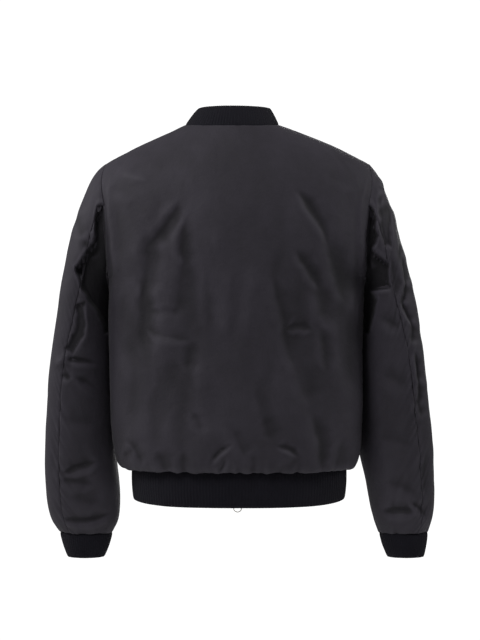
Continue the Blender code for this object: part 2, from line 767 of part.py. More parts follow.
def make_hem_band(back, left, right, material):
    """The hem band, from one zip edge round the back to the other."""
    seam = np.concatenate([left[0], back[0][::-1][1:], right[0][::-1][1:]])
    away = unit(seam * [1.0, 1.0, 0.0])
    top = seam - away * HEM_INSET - [0.0, 0.0, SEAM_GAP]
    low = top * [HEM_LOW_SCALE, HEM_LOW_SCALE, 1.0]
    forward = np.clip(-seam[:, 1] / BODY["front"][0], 0.0, 1.0) ** 2
    sideways = (np.abs(seam[:, 0]) / BODY["half_width"][0]) ** 6
    low[:, 2] = HEM_LOW_Z - FRONT_HEM_DROP * forward + HEM_SIDE_LIFT * sideways
    rows = band_rows(top, low, HEM_SWELL, 2, np.zeros(3))
    middle = np.array([0.0, 0.0, HEM_LOW_Z])
    rib_wall("hem_band", rows, HEM_RIBS_PER_STEP, middle, material)


def make_cuff(side, seam, material):
    """A tapered cuff that hangs from the sleeve's last ring."""
    name = "left" if side > 0 else "right"
    closed = np.concatenate([seam, seam[:1]])
    top = even_line(closed, CUFF_STEPS) - [0.0, 0.0, SEAM_GAP]
    middle = seam.mean(axis=0)
    across = np.ptp(top[:, 0]) / 2
    deep = np.ptp(top[:, 1]) / 2
    low_x, low_y = CUFF_LOW[name]
    low = np.stack(
        [
            side * low_x + (top[:, 0] - middle[0]) / across * CUFF_LOW_HALF_WIDTH,
            low_y + (top[:, 1] - middle[1]) / deep * CUFF_LOW_HALF_DEPTH,
            np.full(len(top), CUFF_LOW_Z),
        ],
        axis=-1,
    )
    rows = band_rows(top, low, CUFF_SWELL, 2, middle)
    rib_wall(f"cuff_{name}", rows, CUFF_RIBS_PER_STEP, middle, material, wrap=True)


def neck_line(back, left, right, row):
    """Values of a row of the panels' grids along the neck seam, from the left zip edge."""
    count = NECK_COLUMNS + 1
    middle = back.shape[1] // 2
    back_part = back[row, middle - NECK_COLUMNS : middle + count][::-1]
    return np.concatenate([left[row, :count], back_part[1:], right[row, :count][::-1][1:]])


def make_collar(panels, material):
    """A rib collar that stands on the neck seam and leans inwards."""
    outers = [outer for outer, _ in panels]
    seam = neck_line(*outers, -1)
    seam_rim = (seam - neck_line(*(inner for _, inner in panels), -1)) / WALL
    centre = CHEST["centre_x"][CHEST["z"] == NECK_Z][0]
    across = unit(np.cross(np.gradient(seam, axis=0), seam_rim))
    inwards = [centre, 0.0, NECK_HALF_WIDTH] - seam
    turned = np.sum(across * inwards, axis=-1, keepdims=True) < 0
    base = seam + SEAM_GAP * np.where(turned, -across, across)
    for end, after, end_x in ((0, 1, COLLAR_END_X), (-1, -2, -COLLAR_END_X)):
        stretch = (end_x - base[end, 0]) / (base[end, 0] - base[after, 0])
        base[end] += stretch * (base[end] - base[after])

    side = math.pi / 2
    end_turn = math.pi - math.asin(COLLAR_END_X / COLLAR_TOP_HALF_WIDTH)
    left_turn = np.linspace(end_turn, side, NECK_COLUMNS + 1)
    back_turn = np.linspace(side, -side, 2 * NECK_COLUMNS + 1)[1:-1]
    turn = np.concatenate([left_turn, back_turn, -left_turn[::-1]])
    front = ease(np.abs(turn) / side - 1)
    shift = COLLAR_TOP_CENTRE_X * (1 - front)
    deep = np.where(np.cos(turn) > 0, COLLAR_TOP_BACK, COLLAR_TOP_FRONT)
    fall = NECK_FRONT_DROP + COLLAR_TOP_Z - COLLAR_FRONT_HEIGHT
    top = np.stack(
        [
            shift + COLLAR_TOP_HALF_WIDTH * np.sin(turn),
            deep * np.cos(turn),
            COLLAR_TOP_Z - fall * front,
        ],
        axis=-1,
    )
    rows = band_rows(base, top, COLLAR_SWELL, 3, np.zeros(3))
    middle = np.array([centre, 0.0, 0.0])
    rib_wall("collar", rows, COLLAR_RIBS_PER_STEP, middle, material, seam_rim=seam_rim)


def zip_path(front):
    """The centre front from the zip's lower end to the neck seam, with its normals."""
    edge = front[:, 0, 1:].copy()
    edge[0, 0] += HEM_INSET
    hem_y = edge[0, 0] * HEM_LOW_SCALE
    hem_z = HEM_LOW_Z - FRONT_HEM_DROP
    low = np.array([[hem_y, hem_z - ZIP_BELOW_HEM], [hem_y, hem_z]])
    path = np.concatenate([low, edge])
    path[-1, 1] -= SEAM_GAP
    tangent = unit(np.gradient(path, axis=0))
    normal = np.stack([-tangent[:, 1], tangent[:, 0]], axis=-1)
    return path, normal * np.where(normal[:, :1] > 0, -1.0, 1.0)


def cut_path(path, normal, low, high):
    """The stretch of the zip between two heights."""
    inside = (path[:, 1] > low) & (path[:, 1] < high)
    heights = np.concatenate([[low], path[inside, 1], [high]])
    order = np.argsort(path[:, 1])
    both = np.concatenate([path, normal], axis=1)[order]
    cut = [np.interp(heights, both[:, 1], both[:, i]) for i in (0, 1, 2, 3)]
    return np.stack(cut[:2], axis=-1), unit(np.stack(cut[2:], axis=-1))


def make_strip(name, path, normal, x_range, recess, material):
    """A flat strip that follows the zip, between two depths under the fronts' surface."""
    corners = [
        (x_range[0], recess[0]),
        (x_range[1], recess[0]),
        (x_range[1], recess[1]),
        (x_range[0], recess[1]),
    ]
    lines = []
    for x, inwards in corners:
        spots = path - inwards * normal
        lines.append(np.column_stack([np.full(len(path), x), spots]))
    grid = np.stack(lines, axis=1)
    ids = np.arange(len(path) * 4).reshape(-1, 4)
    faces = [tuple(f) for f in np.stack(cells(ids, True), axis=-1).reshape(-1, 4)]
    faces += [tuple(ids[0]), tuple(ids[-1])]
    return add_object(name, grid.reshape(-1, 3), faces, material)


class ZipFrame:
    """Places on the zip: across it, along it downwards, and under the fronts' surface."""

    def __init__(self, path, normal, z):
        self.spot = np.array([np.interp(z, path[:, 1], path[:, 0]), z])
        out = [np.interp(z, path[:, 1], normal[:, i]) for i in range(2)]
        self.out = unit(np.array(out))
        self.down = np.array([self.out[1], -self.out[0]])
        if self.down[1] > 0:
            self.down = -self.down

    def place(self, across, along, recess):
        y, z = self.spot + self.down * along - self.out * recess
        return np.array([across, y, z])

    def profile(self, name, half_width, outline, material):
        """A solid drawn from the side as (along, recess) points and carried across."""
        count = len(outline)
        points = [
            self.place(x, *corner) for x in (-half_width, half_width) for corner in outline
        ]
        faces = [tuple(range(count)), tuple(range(count, 2 * count))]
        faces += [
            (i, (i + 1) % count, count + (i + 1) % count, count + i) for i in range(count)
        ]
        return add_object(name, np.array(points), faces, material)

    def block(self, name, half_width, along, recess, material):
        outline = [
            (along[0], recess[0]),
            (along[1], recess[0]),
            (along[1], recess[1]),
            (along[0], recess[1]),
        ]
        return self.profile(name, half_width, outline, material)


def join_helper(thing, helper):
    """Unites a helper solid with a thing, and hides the helper."""
    union = thing.modifiers.new("join " + helper.name, "BOOLEAN")
    union.operation = "UNION"
    union.object = helper
    helper.hide_render = True
    helper.display_type = "WIRE"


def make_slider(name, frame, material):
    """Two plates joined by a post, with a bridge that carries the ring."""
    half = SLIDER_LENGTH / 2
    front_face = CHAIN_RECESS - SEAM_GAP - SLIDER_PLATE
    back_face = CHAIN_RECESS + CHAIN_THICKNESS + SEAM_GAP
    taper = SLIDER_CORNER
    slider = frame.profile(
        name,
        SLIDER_HALF_WIDTH,
        [
            (-half, front_face + taper),
            (-half + taper, front_face),
            (half - taper, front_face),
            (half, front_face + taper),
            (half, front_face + SLIDER_PLATE),
            (-half, front_face + SLIDER_PLATE),
        ],
        material,
    )
    post = frame.block(
        name + "_post",
        SLIDER_POST_HALF_WIDTH,
        (SLIDER_POST_START, SLIDER_POST_START + SLIDER_POST_LENGTH),
        (front_face + SLIDER_PLATE / 2, back_face + SLIDER_PLATE / 2),
        material,
    )
    back_plate = frame.block(
        name + "_back_plate",
        SLIDER_HALF_WIDTH - SLIDER_BACK_INSET[0],
        (SLIDER_BACK_INSET[1] - half, half - SLIDER_BACK_INSET[1]),
        (back_face, back_face + SLIDER_PLATE),
        material,
    )
    foot = front_face + SLIDER_PLATE / 2
    inner, outer = BRIDGE_LENGTH / 2 - BRIDGE_METAL, BRIDGE_LENGTH / 2
    roof = front_face - BRIDGE_SPACE
    bevel = BRIDGE_METAL
    bridge = frame.profile(
        name + "_bridge",
        BRIDGE_HALF_WIDTH,
        [
            (-outer, foot),
            (-outer, roof + bevel - BRIDGE_METAL),
            (-outer + bevel, roof - BRIDGE_METAL),
            (outer - bevel, roof - BRIDGE_METAL),
            (outer, roof + bevel - BRIDGE_METAL),
            (outer, foot),
            (inner, foot),
            (inner, roof),
            (-inner, roof),
            (-inner, foot),
        ],
        material,
    )
    for helper in (post, back_plate, bridge):
        join_helper(slider, helper)
    return slider


def make_ring(name, frame, material):
    """A wire ring through the slider's bridge. Its origin is on the axis that it swings on."""
    front_face = CHAIN_RECESS - SEAM_GAP - SLIDER_PLATE
    inner = BRIDGE_LENGTH / 2 - BRIDGE_METAL
    pivot = frame.place(
        0.0, inner - RING_WIRE_RADIUS - RING_PLAY, front_face - BRIDGE_SPACE / 2
    )
    radius = RING_OUTER_RADIUS - RING_WIRE_RADIUS
    down = np.array([0.0, *frame.down])
    out = np.array([0.0, *frame.out])
    across = np.array([1.0, 0.0, 0.0])
    points, faces = [], []
    for i in range(RING_STEPS):
        turn = math.tau * i / RING_STEPS
        away = across * math.sin(turn) - down * math.cos(turn)
        for j in range(WIRE_STEPS):
            wire = math.tau * j / WIRE_STEPS
            spot = radius * (down + away)
            spot = spot + RING_WIRE_RADIUS * (away * math.cos(wire) + out * math.sin(wire))
            points.append(spot)
            after_i, after_j = (i + 1) % RING_STEPS, (j + 1) % WIRE_STEPS
            faces.append(
                (
                    i * WIRE_STEPS + j,
                    i * WIRE_STEPS + after_j,
                    after_i * WIRE_STEPS + after_j,
                    after_i * WIRE_STEPS + j,
                )
            )
    ring = add_object(name, np.array(points), faces, material)
    ring.location = pivot * MM
    return ring


def make_zip(front_outer, tape_material, metal):
    """Two tapes, the chain between the sliders, and both sliders with their rings."""
    path, normal = zip_path(front_outer)
    low, high = path[0, 1], path[-1, 1]
    frames = {
        "top": ZipFrame(path, normal, high - TOP_SLIDER_BELOW_NECK),
        "bottom": ZipFrame(path, normal, BOTTOM_SLIDER_Z),
    }
    posts = {
        "top": SLIDER_POST_START + SLIDER_POST_LENGTH,
        "bottom": SLIDER_POST_START,
    }
    chain_high = frames["top"].place(0.0, posts["top"] + SEAM_GAP, 0.0)[2]
    chain_low = frames["bottom"].place(0.0, posts["bottom"] - SEAM_GAP, 0.0)[2]
    tape_recess = (TAPE_RECESS, TAPE_RECESS + TAPE_THICKNESS)
    chain_recess = (CHAIN_RECESS, CHAIN_RECESS + CHAIN_THICKNESS)
    tape_inner_x = CHAIN_HALF_WIDTH + SEAM_GAP
    for name, side in (("left", 1), ("right", -1)):
        x_range = (side * tape_inner_x, side * TAPE_OUTER_X)
        make_strip(f"zip_tape_{name}", path, normal, x_range, tape_recess, tape_material)
    chain_path, chain_normal = cut_path(path, normal, chain_low, chain_high)
    x_range = (-CHAIN_HALF_WIDTH, CHAIN_HALF_WIDTH)
    make_strip("zip_chain", chain_path, chain_normal, x_range, chain_recess, metal)
    for name, frame in frames.items():
        make_slider(f"slider_{name}", frame, metal)
        make_ring(f"ring_{name}", frame, metal)


def main():
    for thing in list(bpy.data.objects):
        bpy.data.objects.remove(thing)
    shell = make_material("shell_cloth", (0.034, 0.031, 0.038), 0.72)
    knit = make_material("rib_knit", (0.009, 0.0085, 0.012), 0.9)
    tape = make_material("zip_tape", (0.012, 0.012, 0.014), 0.85)
    metal = make_material("zip_metal", (0.62, 0.60, 0.55), 0.3, 1.0)

    halves = zip(half_panel(1, -1), half_panel(1, 1))
    back = [np.concatenate([right[:, ::-1], left[:, 1:]], axis=1) for right, left in halves]
    back_walls = panel_walls(*back, 1, {0: -1, -1: 1})
    left_walls = panel_walls(*half_panel(-1, 1), -1, {0: 0, -1: 1})
    right_walls = panel_walls(*half_panel(-1, -1), -1, {0: 0, -1: -1})
    solid("back", *back_walls, shell)
    solid("front_left", *left_walls, shell)
    solid("front_right", *right_walls, shell)
    for side in (1, -1):
        seam = make_sleeve(side, shell)
        make_cuff(side, seam, knit)
    make_hem_band(back_walls[0], left_walls[0], right_walls[0], knit)
    make_collar((back_walls, left_walls, right_walls), knit)
    make_zip(left_walls[0], tape, metal)


main()
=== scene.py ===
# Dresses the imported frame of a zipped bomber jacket: waxed cloth, rib knit, zip and sewing.
# Tables are in millimetres and degrees, meshes in metres, all in the frame's own axes:
# +Z is up, the front faces -Y and +X is the wearer's left.
import math

import bmesh
import bpy
import numpy as np
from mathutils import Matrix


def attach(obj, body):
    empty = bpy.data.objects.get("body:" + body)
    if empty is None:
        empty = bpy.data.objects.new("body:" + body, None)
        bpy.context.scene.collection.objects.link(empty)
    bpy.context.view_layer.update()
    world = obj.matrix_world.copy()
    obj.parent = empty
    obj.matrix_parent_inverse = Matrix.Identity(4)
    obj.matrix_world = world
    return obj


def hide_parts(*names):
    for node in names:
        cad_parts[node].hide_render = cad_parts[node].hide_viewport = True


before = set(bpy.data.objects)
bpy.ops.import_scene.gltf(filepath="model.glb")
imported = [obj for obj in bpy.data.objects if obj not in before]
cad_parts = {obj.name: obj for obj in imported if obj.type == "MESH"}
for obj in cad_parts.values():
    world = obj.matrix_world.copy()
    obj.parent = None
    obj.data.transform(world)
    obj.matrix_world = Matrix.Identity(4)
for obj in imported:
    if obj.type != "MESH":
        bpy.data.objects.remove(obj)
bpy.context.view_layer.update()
mm = 0.001
innerParts = 3  # a wall's inner side has every third point of its outer one
print("frame loaded")


def columns(names, rows):
    # a table as a dictionary of arrays, one for each named column
    return dict(zip(names.split(), np.array(rows, float).T))


# the garment's cut, as in the solids
cut = {
    "neckZ": 0.0,
    "shoulderTipZ": -67.0,
    "armpitZ": -270.0,
    "hemSeamZ": -597.0,
    "neckHalfWidth": 81.0,
    "neckBackDip": 8.0,
    "neckFrontDrop": 75.0,
    "frontEdgeX": 8.0,
    "neckColumns": 6,
    "shoulderColumns": 9,
    "armholeRows": 12,
    "chestColumnTurn": 66.0,
    "chestLevel": 0.45,
    "neckSpread": 30.0,
    "armholeY": 2.0,
    "armholeHalfDepth": 62.0,
    "frontHemDrop": 14.0,
    "blouseStartX": 60.0,
    "leanStartX": 70.0,
    "gatherDepth": 0.7,
    "gatherWaves": 7.5,
}
armholeZ = (cut["shoulderTipZ"] + cut["armpitZ"]) / 2
armholeHalfHeight = (cut["shoulderTipZ"] - cut["armpitZ"]) / 2

# half-width of the shoulders' crest at each height
shoulderSlope = columns("z halfWidth", [
    (-74, 239),
    (-67, 227),
    (-54, 203),
    (-40, 175.5),
    (-26, 144),
    (-12, 110),
    (0, 81),
    (14, 46),
])
# level sections above the armpits: how far back and front reach, how square they are, and
# where the armhole's edge stands
chest = columns("z centreX back front roundness armholeX", [
    (-270, 2, 127.5, 136, 2.3, 221),
    (-230, 2, 128.5, 135.5, 2.28, 220.5),
    (-190, 2, 127, 128, 2.22, 220),
    (-140, 1.5, 122, 111.5, 2.08, 224.5),
    (-100, 1, 114.5, 94, 1.92, 230.5),
    (-67, 0.5, 105, 79, 1.8, 227),
    (-40, 1, 94, 68.5, 1.76, 227),
    (-26, 2.5, 86, 63, 1.76, 227),
    (-12, 6, 76.5, 57.5, 1.8, 227),
    (0, 9.5, 67, 52, 1.9, 227),
    (14, 9.5, 55, 45, 1.9, 227),
])
# level sections under the armpits, and how far the cloth drops over the hem band
body = columns("z centreX halfWidth back front roundness drop", [
    (-590, -3, 186.5, 115, 118, 2.2, 0),
    (-584, -1.5, 198, 122, 122, 2.22, 8),
    (-576, 0, 206.5, 127.5, 126, 2.25, 8),
    (-562, 0.5, 212, 129.5, 129, 2.28, 4),
    (-545, 1, 215, 129.5, 131, 2.3, 1),
    (-510, 1.5, 217, 127.5, 132, 2.3, 0),
    (-470, 1.5, 218, 125.5, 131.5, 2.3, 0),
    (-425, 2, 219, 124, 131.5, 2.3, 0),
    (-380, 2, 219.5, 123.5, 132.5, 2.3, 0),
    (-340, 2, 220, 124.5, 134, 2.3, 0),
    (-303, 2, 220.5, 126, 135.5, 2.3, 0),
    (-270, 2, 221, 127.5, 136, 2.3, 0),
])


def smooth(where, table, column, key="z"):
    # a column of a table between its rows, on a curve with no corners
    places, values = table[key], table[column]
    slopes = np.gradient(values, places)
    i = np.clip(np.searchsorted(places, where) - 1, 0, len(places) - 2)
    step = places[i + 1] - places[i]
    t = np.clip((where - places[i]) / step, 0.0, 1.0)
    return (
        (1 + 2 * t) * (1 - t) ** 2 * values[i]
        + t * (1 - t) ** 2 * step * slopes[i]
        + t * t * (3 - 2 * t) * values[i + 1]
        + t * t * (t - 1) * step * slopes[i + 1]
    )


def ease(t):
    # from 0 to 1 with no jump in slope at either end
    t = np.clip(t, 0.0, 1.0)
    return t * t * (3 - 2 * t)


def unit(vectors):
    return vectors / np.maximum(np.linalg.norm(vectors, axis=-1, keepdims=True), 1e-9)


def runLength(points):
    # distance along a line of points, from the first one
    step = np.linalg.norm(np.diff(points, axis=0), axis=-1)
    return np.concatenate([[0.0], np.cumsum(step)])


def readAlong(where, length, points):
    # points of a line at distances along it
    return np.stack([np.interp(where, length, part) for part in points.T], axis=-1)


def armholeEdge(angle, side):
    # a point of the armhole: an oval seen from the side, at 0 degrees on top and 90 at the back
    turn = np.radians(angle)
    y = cut["armholeY"] * np.abs(np.sin(turn)) + cut["armholeHalfDepth"] * np.sin(turn)
    z = armholeZ + armholeHalfHeight * np.cos(turn)
    x = smooth(z, chest, "centreX") + side * smooth(z, chest, "armholeX")
    return np.stack([x, y, z], axis=-1)


def chestSection(z, facing):
    # half-width, depth and roundness of a level section above the armpits: it ends at the
    # shoulder's crest or, under the shoulder's tip, passes through the armhole's edge
    depth = smooth(z, chest, "back" if facing > 0 else "front")
    power = smooth(z, chest, "roundness")
    level = np.clip((z - armholeZ) / armholeHalfHeight, -1.0, 1.0)
    reach = (cut["armholeHalfDepth"] + facing * cut["armholeY"]) * np.sqrt(1 - level**2)
    edge = np.clip(reach / depth, 0.0, 0.98) ** power
    throughArmhole = smooth(z, chest, "armholeX") / (1.0 - edge) ** (1.0 / power)
    crest = smooth(z, shoulderSlope, "halfWidth")
    return np.where(z > cut["shoulderTipZ"], crest, throughArmhole), depth, power


def chestDepth(x, z, facing):
    # a level section is a rounded oval: (x / half-width)^power + (y / depth)^power = 1
    halfWidth, depth, power = chestSection(z, facing)
    across = np.clip(x / halfWidth, 0.0, 1.0)
    return depth * (1.0 - across**power) ** (1.0 / power)


def chestHeight(x, y, facing):
    # height of the cloth over a place seen from above, found by halving
    low = np.full_like(x, cut["armpitZ"])
    high = np.full_like(x, shoulderSlope["z"][-1])
    for _ in range(40):
        z = (low + high) / 2
        halfWidth, depth, power = chestSection(z, facing)
        inside = (x / halfWidth) ** power + (y / depth) ** power < 1.0
        low, high = np.where(inside, z, low), np.where(inside, high, z)
    return z


def lean(x, z, facing):
    # how far the body leans to the left
    shift = smooth(z, chest, "centreX")
    return shift if facing > 0 else shift * ease(x / cut["leanStartX"])


def topEdge(facing, startX):
    # distance from the middle and height along the neck seam, then along the shoulder seam
    drop = cut["neckBackDip"] if facing > 0 else cut["neckFrontDrop"]
    turn = np.linspace(math.acos(startX / cut["neckHalfWidth"]), 0.0, 200)
    x = cut["neckHalfWidth"] * np.cos(turn)
    z = cut["neckZ"] - drop * np.sin(turn)
    length = runLength(np.stack([x, chestDepth(x, z, facing), z], axis=-1))
    even = np.linspace(0.0, length[-1], cut["neckColumns"] + 1)
    t = np.linspace(0.0, 1.0, cut["shoulderColumns"] + 1)[1:]
    crestZ = cut["neckZ"] + (cut["shoulderTipZ"] - cut["neckZ"]) * t
    crestX = smooth(crestZ, shoulderSlope, "halfWidth")
    neckX, neckZ = np.interp(even, length, x), np.interp(even, length, z)
    return np.concatenate([neckX, crestX]), np.concatenate([neckZ, crestZ])


def ovalAngles(width, depth, power, start, count):
    # angles that step evenly along a quarter of a rounded oval, from start to its side
    turn = np.linspace(0.0, math.pi / 2, 400)
    x = width * np.sin(turn) ** (2 / power)
    y = depth * np.cos(turn) ** (2 / power)
    length = runLength(np.stack([x, y], axis=-1))
    first = np.interp(start, x, length)
    return np.interp(np.linspace(first, length[-1], count + 1), length, turn)


def halfPanel(facing, side):
    # half a body panel: rows from the hem up, columns from the centre to the side.
    # facing is 1 for the back and -1 for a front, and side is 1 for the wearer's left
    startX = 0.0 if facing > 0 else cut["frontEdgeX"]
    depthName = "back" if facing > 0 else "front"
    count = cut["neckColumns"] + cut["shoulderColumns"]
    across = np.linspace(0.0, 1.0, count + 1)
    width, depth, power, drop, centreX = (
        body[name][:, None] for name in ("halfWidth", depthName, "roundness", "drop", "centreX")
    )
    sections = zip(width[:, 0], depth[:, 0], power[:, 0])
    turn = np.array([ovalAngles(*section, startX, count) for section in sections])
    x = width * np.sin(turn) ** (2 / power)
    y = depth * np.abs(np.cos(turn)) ** (2 / power)
    y[:, -1] = 0.0
    z = np.broadcast_to(body["z"][:, None], x.shape).copy()
    leaning, bloused = centreX, 1.0
    if facing < 0:
        sag = ease((cut["armpitZ"] - z) / (cut["armpitZ"] - cut["hemSeamZ"]))
        z -= cut["frontHemDrop"] * sag * (y / depth) ** 2
        bloused = ease((x - cut["frontEdgeX"]) / cut["blouseStartX"])
        leaning = centreX * ease(x / cut["leanStartX"])
    z -= drop * bloused
    wave = np.sin(across * cut["gatherWaves"] * math.tau + 1.3 * side) * bloused
    z -= cut["gatherDepth"] * drop / drop.max() * wave * ease((1 - across) * 8)
    lower = np.stack([leaning + side * x, facing * y, z], axis=-1)

    topX, topZ = topEdge(facing, startX)
    chestTurn = math.radians(cut["chestColumnTurn"])
    fractionLow = x[-1] / x[-1, -1]
    fractionChest = np.sin(chestTurn * across) / math.sin(chestTurn)
    if facing < 0:
        fractionChest = fractionChest + (1 - across) * cut["frontEdgeX"] / topX[-1]
    nearArmhole = ease((across - 0.55) / 0.45)
    nearNeck = ease(1 - np.abs(np.arange(count + 1) / cut["neckColumns"] - 1))
    upper = []
    for t in np.arange(1, cut["armholeRows"] + 1) / cut["armholeRows"]:
        even, oval = math.sin(t * math.pi / 2), (1 - math.cos(t * math.pi)) / 2
        z = cut["armpitZ"] + (topZ - cut["armpitZ"]) * (even + (oval - even) * nearArmhole)
        if t < 1:
            fraction = fractionLow + (fractionChest - fractionLow) * ease(t / cut["chestLevel"])
            toTop = max(t - cut["chestLevel"], 0.0) / (1 - cut["chestLevel"])
            gather = ease(toTop)
            fraction = fraction + (topX / topX[-1] - fraction) * gather
            x = fraction * smooth(z, chest, "armholeX")
            y = chestDepth(x, z, facing)
            spread = cut["neckSpread"] * nearNeck * (gather - toTop**3)
            x = x + spread
            z = np.where(spread > 0, chestHeight(x, y, facing), z)
        else:
            x, y = topX, chestDepth(topX, z, facing)
            y[cut["neckColumns"] :] = 0.0
        row = np.stack([lean(x, z, facing) + side * x, facing * y, z], axis=-1)
        row[-1] = armholeEdge(180.0 * (1 - t) * facing, side)
        upper.append(row)
    return np.concatenate([lower, upper])


# fine surfaces
def splined(rows, where, closed=False):
    # a curve with no corners through the rows, read at fractional row numbers: each stretch
    # is a cubic, and the bends of neighbours meet
    n = len(rows)
    flat = rows.reshape(n, -1)
    matrix = 4 * np.eye(n) + np.eye(n, k=1) + np.eye(n, k=-1)
    pull = np.zeros_like(flat)
    if closed:
        matrix[0, -1] = matrix[-1, 0] = 1
        pull = 6 * (np.roll(flat, -1, 0) - 2 * flat + np.roll(flat, 1, 0))
    else:
        matrix[[0, -1]] = 0
        matrix[0, 0] = matrix[-1, -1] = 1
        pull[1:-1] = 6 * (flat[2:] - 2 * flat[1:-1] + flat[:-2])
    bend = np.linalg.solve(matrix, pull)
    i = np.clip(np.floor(where).astype(int), 0, n - (1 if closed else 2))
    j = (i + 1) % n
    t = (where - i)[:, None]
    line = flat[i] * (1 - t) + flat[j] * t
    curve = line - t * (1 - t) * ((2 - t) * bend[i] + (1 + t) * bend[j]) / 6
    return curve.reshape((len(where),) + rows.shape[1:])


def splinedInParts(rows, where, corner):
    # the same, with a corner left sharp at one row
    low = splined(rows[: corner + 1], where[where <= corner])
    high = splined(rows[corner:], where[where > corner] - corner)
    return np.concatenate([low, high])


def evenPlaces(rows, step, keep=()):
    # fractional row numbers a step apart along the surface, with the kept rows among them
    gap = np.linalg.norm(np.diff(rows, axis=0), axis=-1)
    while gap.ndim > 1:
        gap = gap.mean(axis=-1)
    length = np.concatenate([[0.0], np.cumsum(gap)])
    stops = [0, *keep, len(rows) - 1]
    places = []
    for a, b in zip(stops[:-1], stops[1:]):
        count = innerParts * max(1, round((length[b] - length[a]) / step / innerParts))
        even = np.linspace(length[a], length[b], count + 1)
        places.append(np.interp(even, length, np.arange(len(rows)))[:-1])
    return np.append(np.concatenate(places), len(rows) - 1.0)


def surfaceNormals(grid, middle, wrap=False):
    # unit normals of a grid, facing away from the middle
    if wrap:
        across = np.roll(grid, -1, axis=1) - np.roll(grid, 1, axis=1)
    else:
        across = np.gradient(grid, axis=1)
    normals = unit(np.cross(across, np.gradient(grid, axis=0)))
    facing = np.sign(np.sum(normals * (grid - middle), axis=-1))
    return normals * (-1.0 if np.median(facing) < 0 else 1.0)


def arcs(grid, axis):
    # distance along the cloth from the first row or column of a grid
    step = np.linalg.norm(np.diff(grid, axis=axis), axis=-1)
    start = np.zeros_like(np.take(step, [0], axis=axis))
    return np.concatenate([start, np.cumsum(step, axis=axis)], axis=axis)


def noise(u, v, size, seed):
    # soft random heights from -1 to 1: random values on a lattice, joined by soft steps.
    # Where a caller adds a number to u or v, it only reads another part of the lattice
    cells = 64
    table = np.random.default_rng(seed).uniform(-1, 1, (cells, cells))
    i, j = np.floor(u / size).astype(int), np.floor(v / size).astype(int)
    s, t = ease(u / size - i), ease(v / size - j)
    i0, i1, j0, j1 = i % cells, (i + 1) % cells, j % cells, (j + 1) % cells
    low = table[i0, j0] * (1 - s) + table[i1, j0] * s
    high = table[i0, j1] * (1 - s) + table[i1, j1] * s
    return low * (1 - t) + high * t


def crumple(u, v, seed):
    # the uneven hand of a waxed cloth: soft bumps, and faint broken creases between them
    bumps = 0.6 * noise(u, v, 46.0, seed) + 0.25 * noise(u + 0.4 * v, v - 0.4 * u, 23.0, seed + 1)
    crease = 1 - np.abs(noise(u + 9 * noise(u, v, 30.0, seed + 2), 0.7 * v, 52.0, seed + 3))
    where = ease(noise(u, v, 90.0, seed + 4) + 0.2)
    return bumps - 0.7 * where * crease**5


def drape(x, z, seed):
    # broad soft folds that hang down the cloth, longer than they are wide
    lean = x + 14 * noise(x, z, 120.0, seed)
    return noise(lean, 0.3 * z, 44.0, seed + 1) + 0.5 * noise(lean, 0.45 * z, 24.0, seed + 2)


def creased(x, z, table, seed):
    # depth of creases at (x, z): each is a bent line from (x1, z1) to (x2, z2) that wanders a
    # little, and is narrower and shallower towards its ends. The cloth drops steeply into it on
    # one hand, with a low ridge outside, and climbs back slowly on the other
    u, v = x + 900, z + 900
    x = x + 5.0 * noise(u, v, 58.0, seed) + 1.3 * noise(u, v, 17.0, seed + 1)
    z = z + 5.0 * noise(u, v, 58.0, seed + 2)
    depth = np.zeros_like(x)
    for x1, z1, x2, z2, bend, width, deep, sharp in zip(*table.values()):
        length = math.hypot(x2 - x1, z2 - z1)
        t = ((x - x1) * (x2 - x1) + (z - z1) * (z2 - z1)) / length**2
        across = ((x - x1) * (z2 - z1) - (z - z1) * (x2 - x1)) / length
        onLine = np.clip(t, 0.0, 1.0)
        across = across - 4 * bend * onLine * (1 - onLine)
        fade = ease((t + 0.12) / 0.45) * ease((1.12 - t) / 0.45)
        s = across / (1.3 * width * (0.5 + 0.5 * fade))
        slope = np.where(s < 0, 1.3 * s, 0.75 * s)
        ridge = 0.22 * np.exp(-(((s + 1.5) / 0.7) ** 2))
        depth += deep * fade * (np.exp(-(np.abs(slope) ** sharp)) - ridge)
    return depth


def hollowed(x, z, outline, deep, soft, seed):
    # depth of a pocket pressed into the cloth inside an outline of (x, z) corners
    wander = 2.5
    x = x + wander * noise(x + 900, z + 900, 15.0, seed)
    z = z + wander * noise(x + 900, z + 900, 15.0, seed + 1)
    near = np.full_like(x, 1e9)
    inside = np.zeros(x.shape, bool)
    for (x1, z1), (x2, z2) in zip(outline, outline[1:] + outline[:1]):
        length = math.hypot(x2 - x1, z2 - z1)
        t = np.clip(((x - x1) * (x2 - x1) + (z - z1) * (z2 - z1)) / length**2, 0.0, 1.0)
        near = np.minimum(near, np.hypot(x - x1 - t * (x2 - x1), z - z1 - t * (z2 - z1)))
        crossed = (z1 > z) != (z2 > z)
        at = x1 + (z - z1) * (x2 - x1) / (z2 - z1 if z2 != z1 else 1.0)
        inside ^= crossed & (x < at)
    return deep * ease(0.5 + np.where(inside, near, -near) / soft)


def quads(ids, wrap):
    # corner numbers of each cell of a grid of vertex numbers
    if wrap:
        ids = np.concatenate([ids, ids[:, :1]], axis=1)
    return np.stack([ids[:-1, :-1], ids[:-1, 1:], ids[1:, 1:], ids[1:, :-1]], axis=-1).reshape(-1, 4)


def rimFaces(outer, inner):
    # triangles between a wall's fine outer edge and its inner one
    k = np.arange(len(outer) - 1)
    near = (k + innerParts // 2) // innerParts
    fine = np.stack([outer[k], outer[k + 1], inner[near]], axis=-1)
    j = np.arange(len(inner) - 1)
    half = outer[j * innerParts + innerParts - innerParts // 2]
    return np.concatenate([fine, np.stack([inner[j], half, inner[j + 1]], axis=-1)])


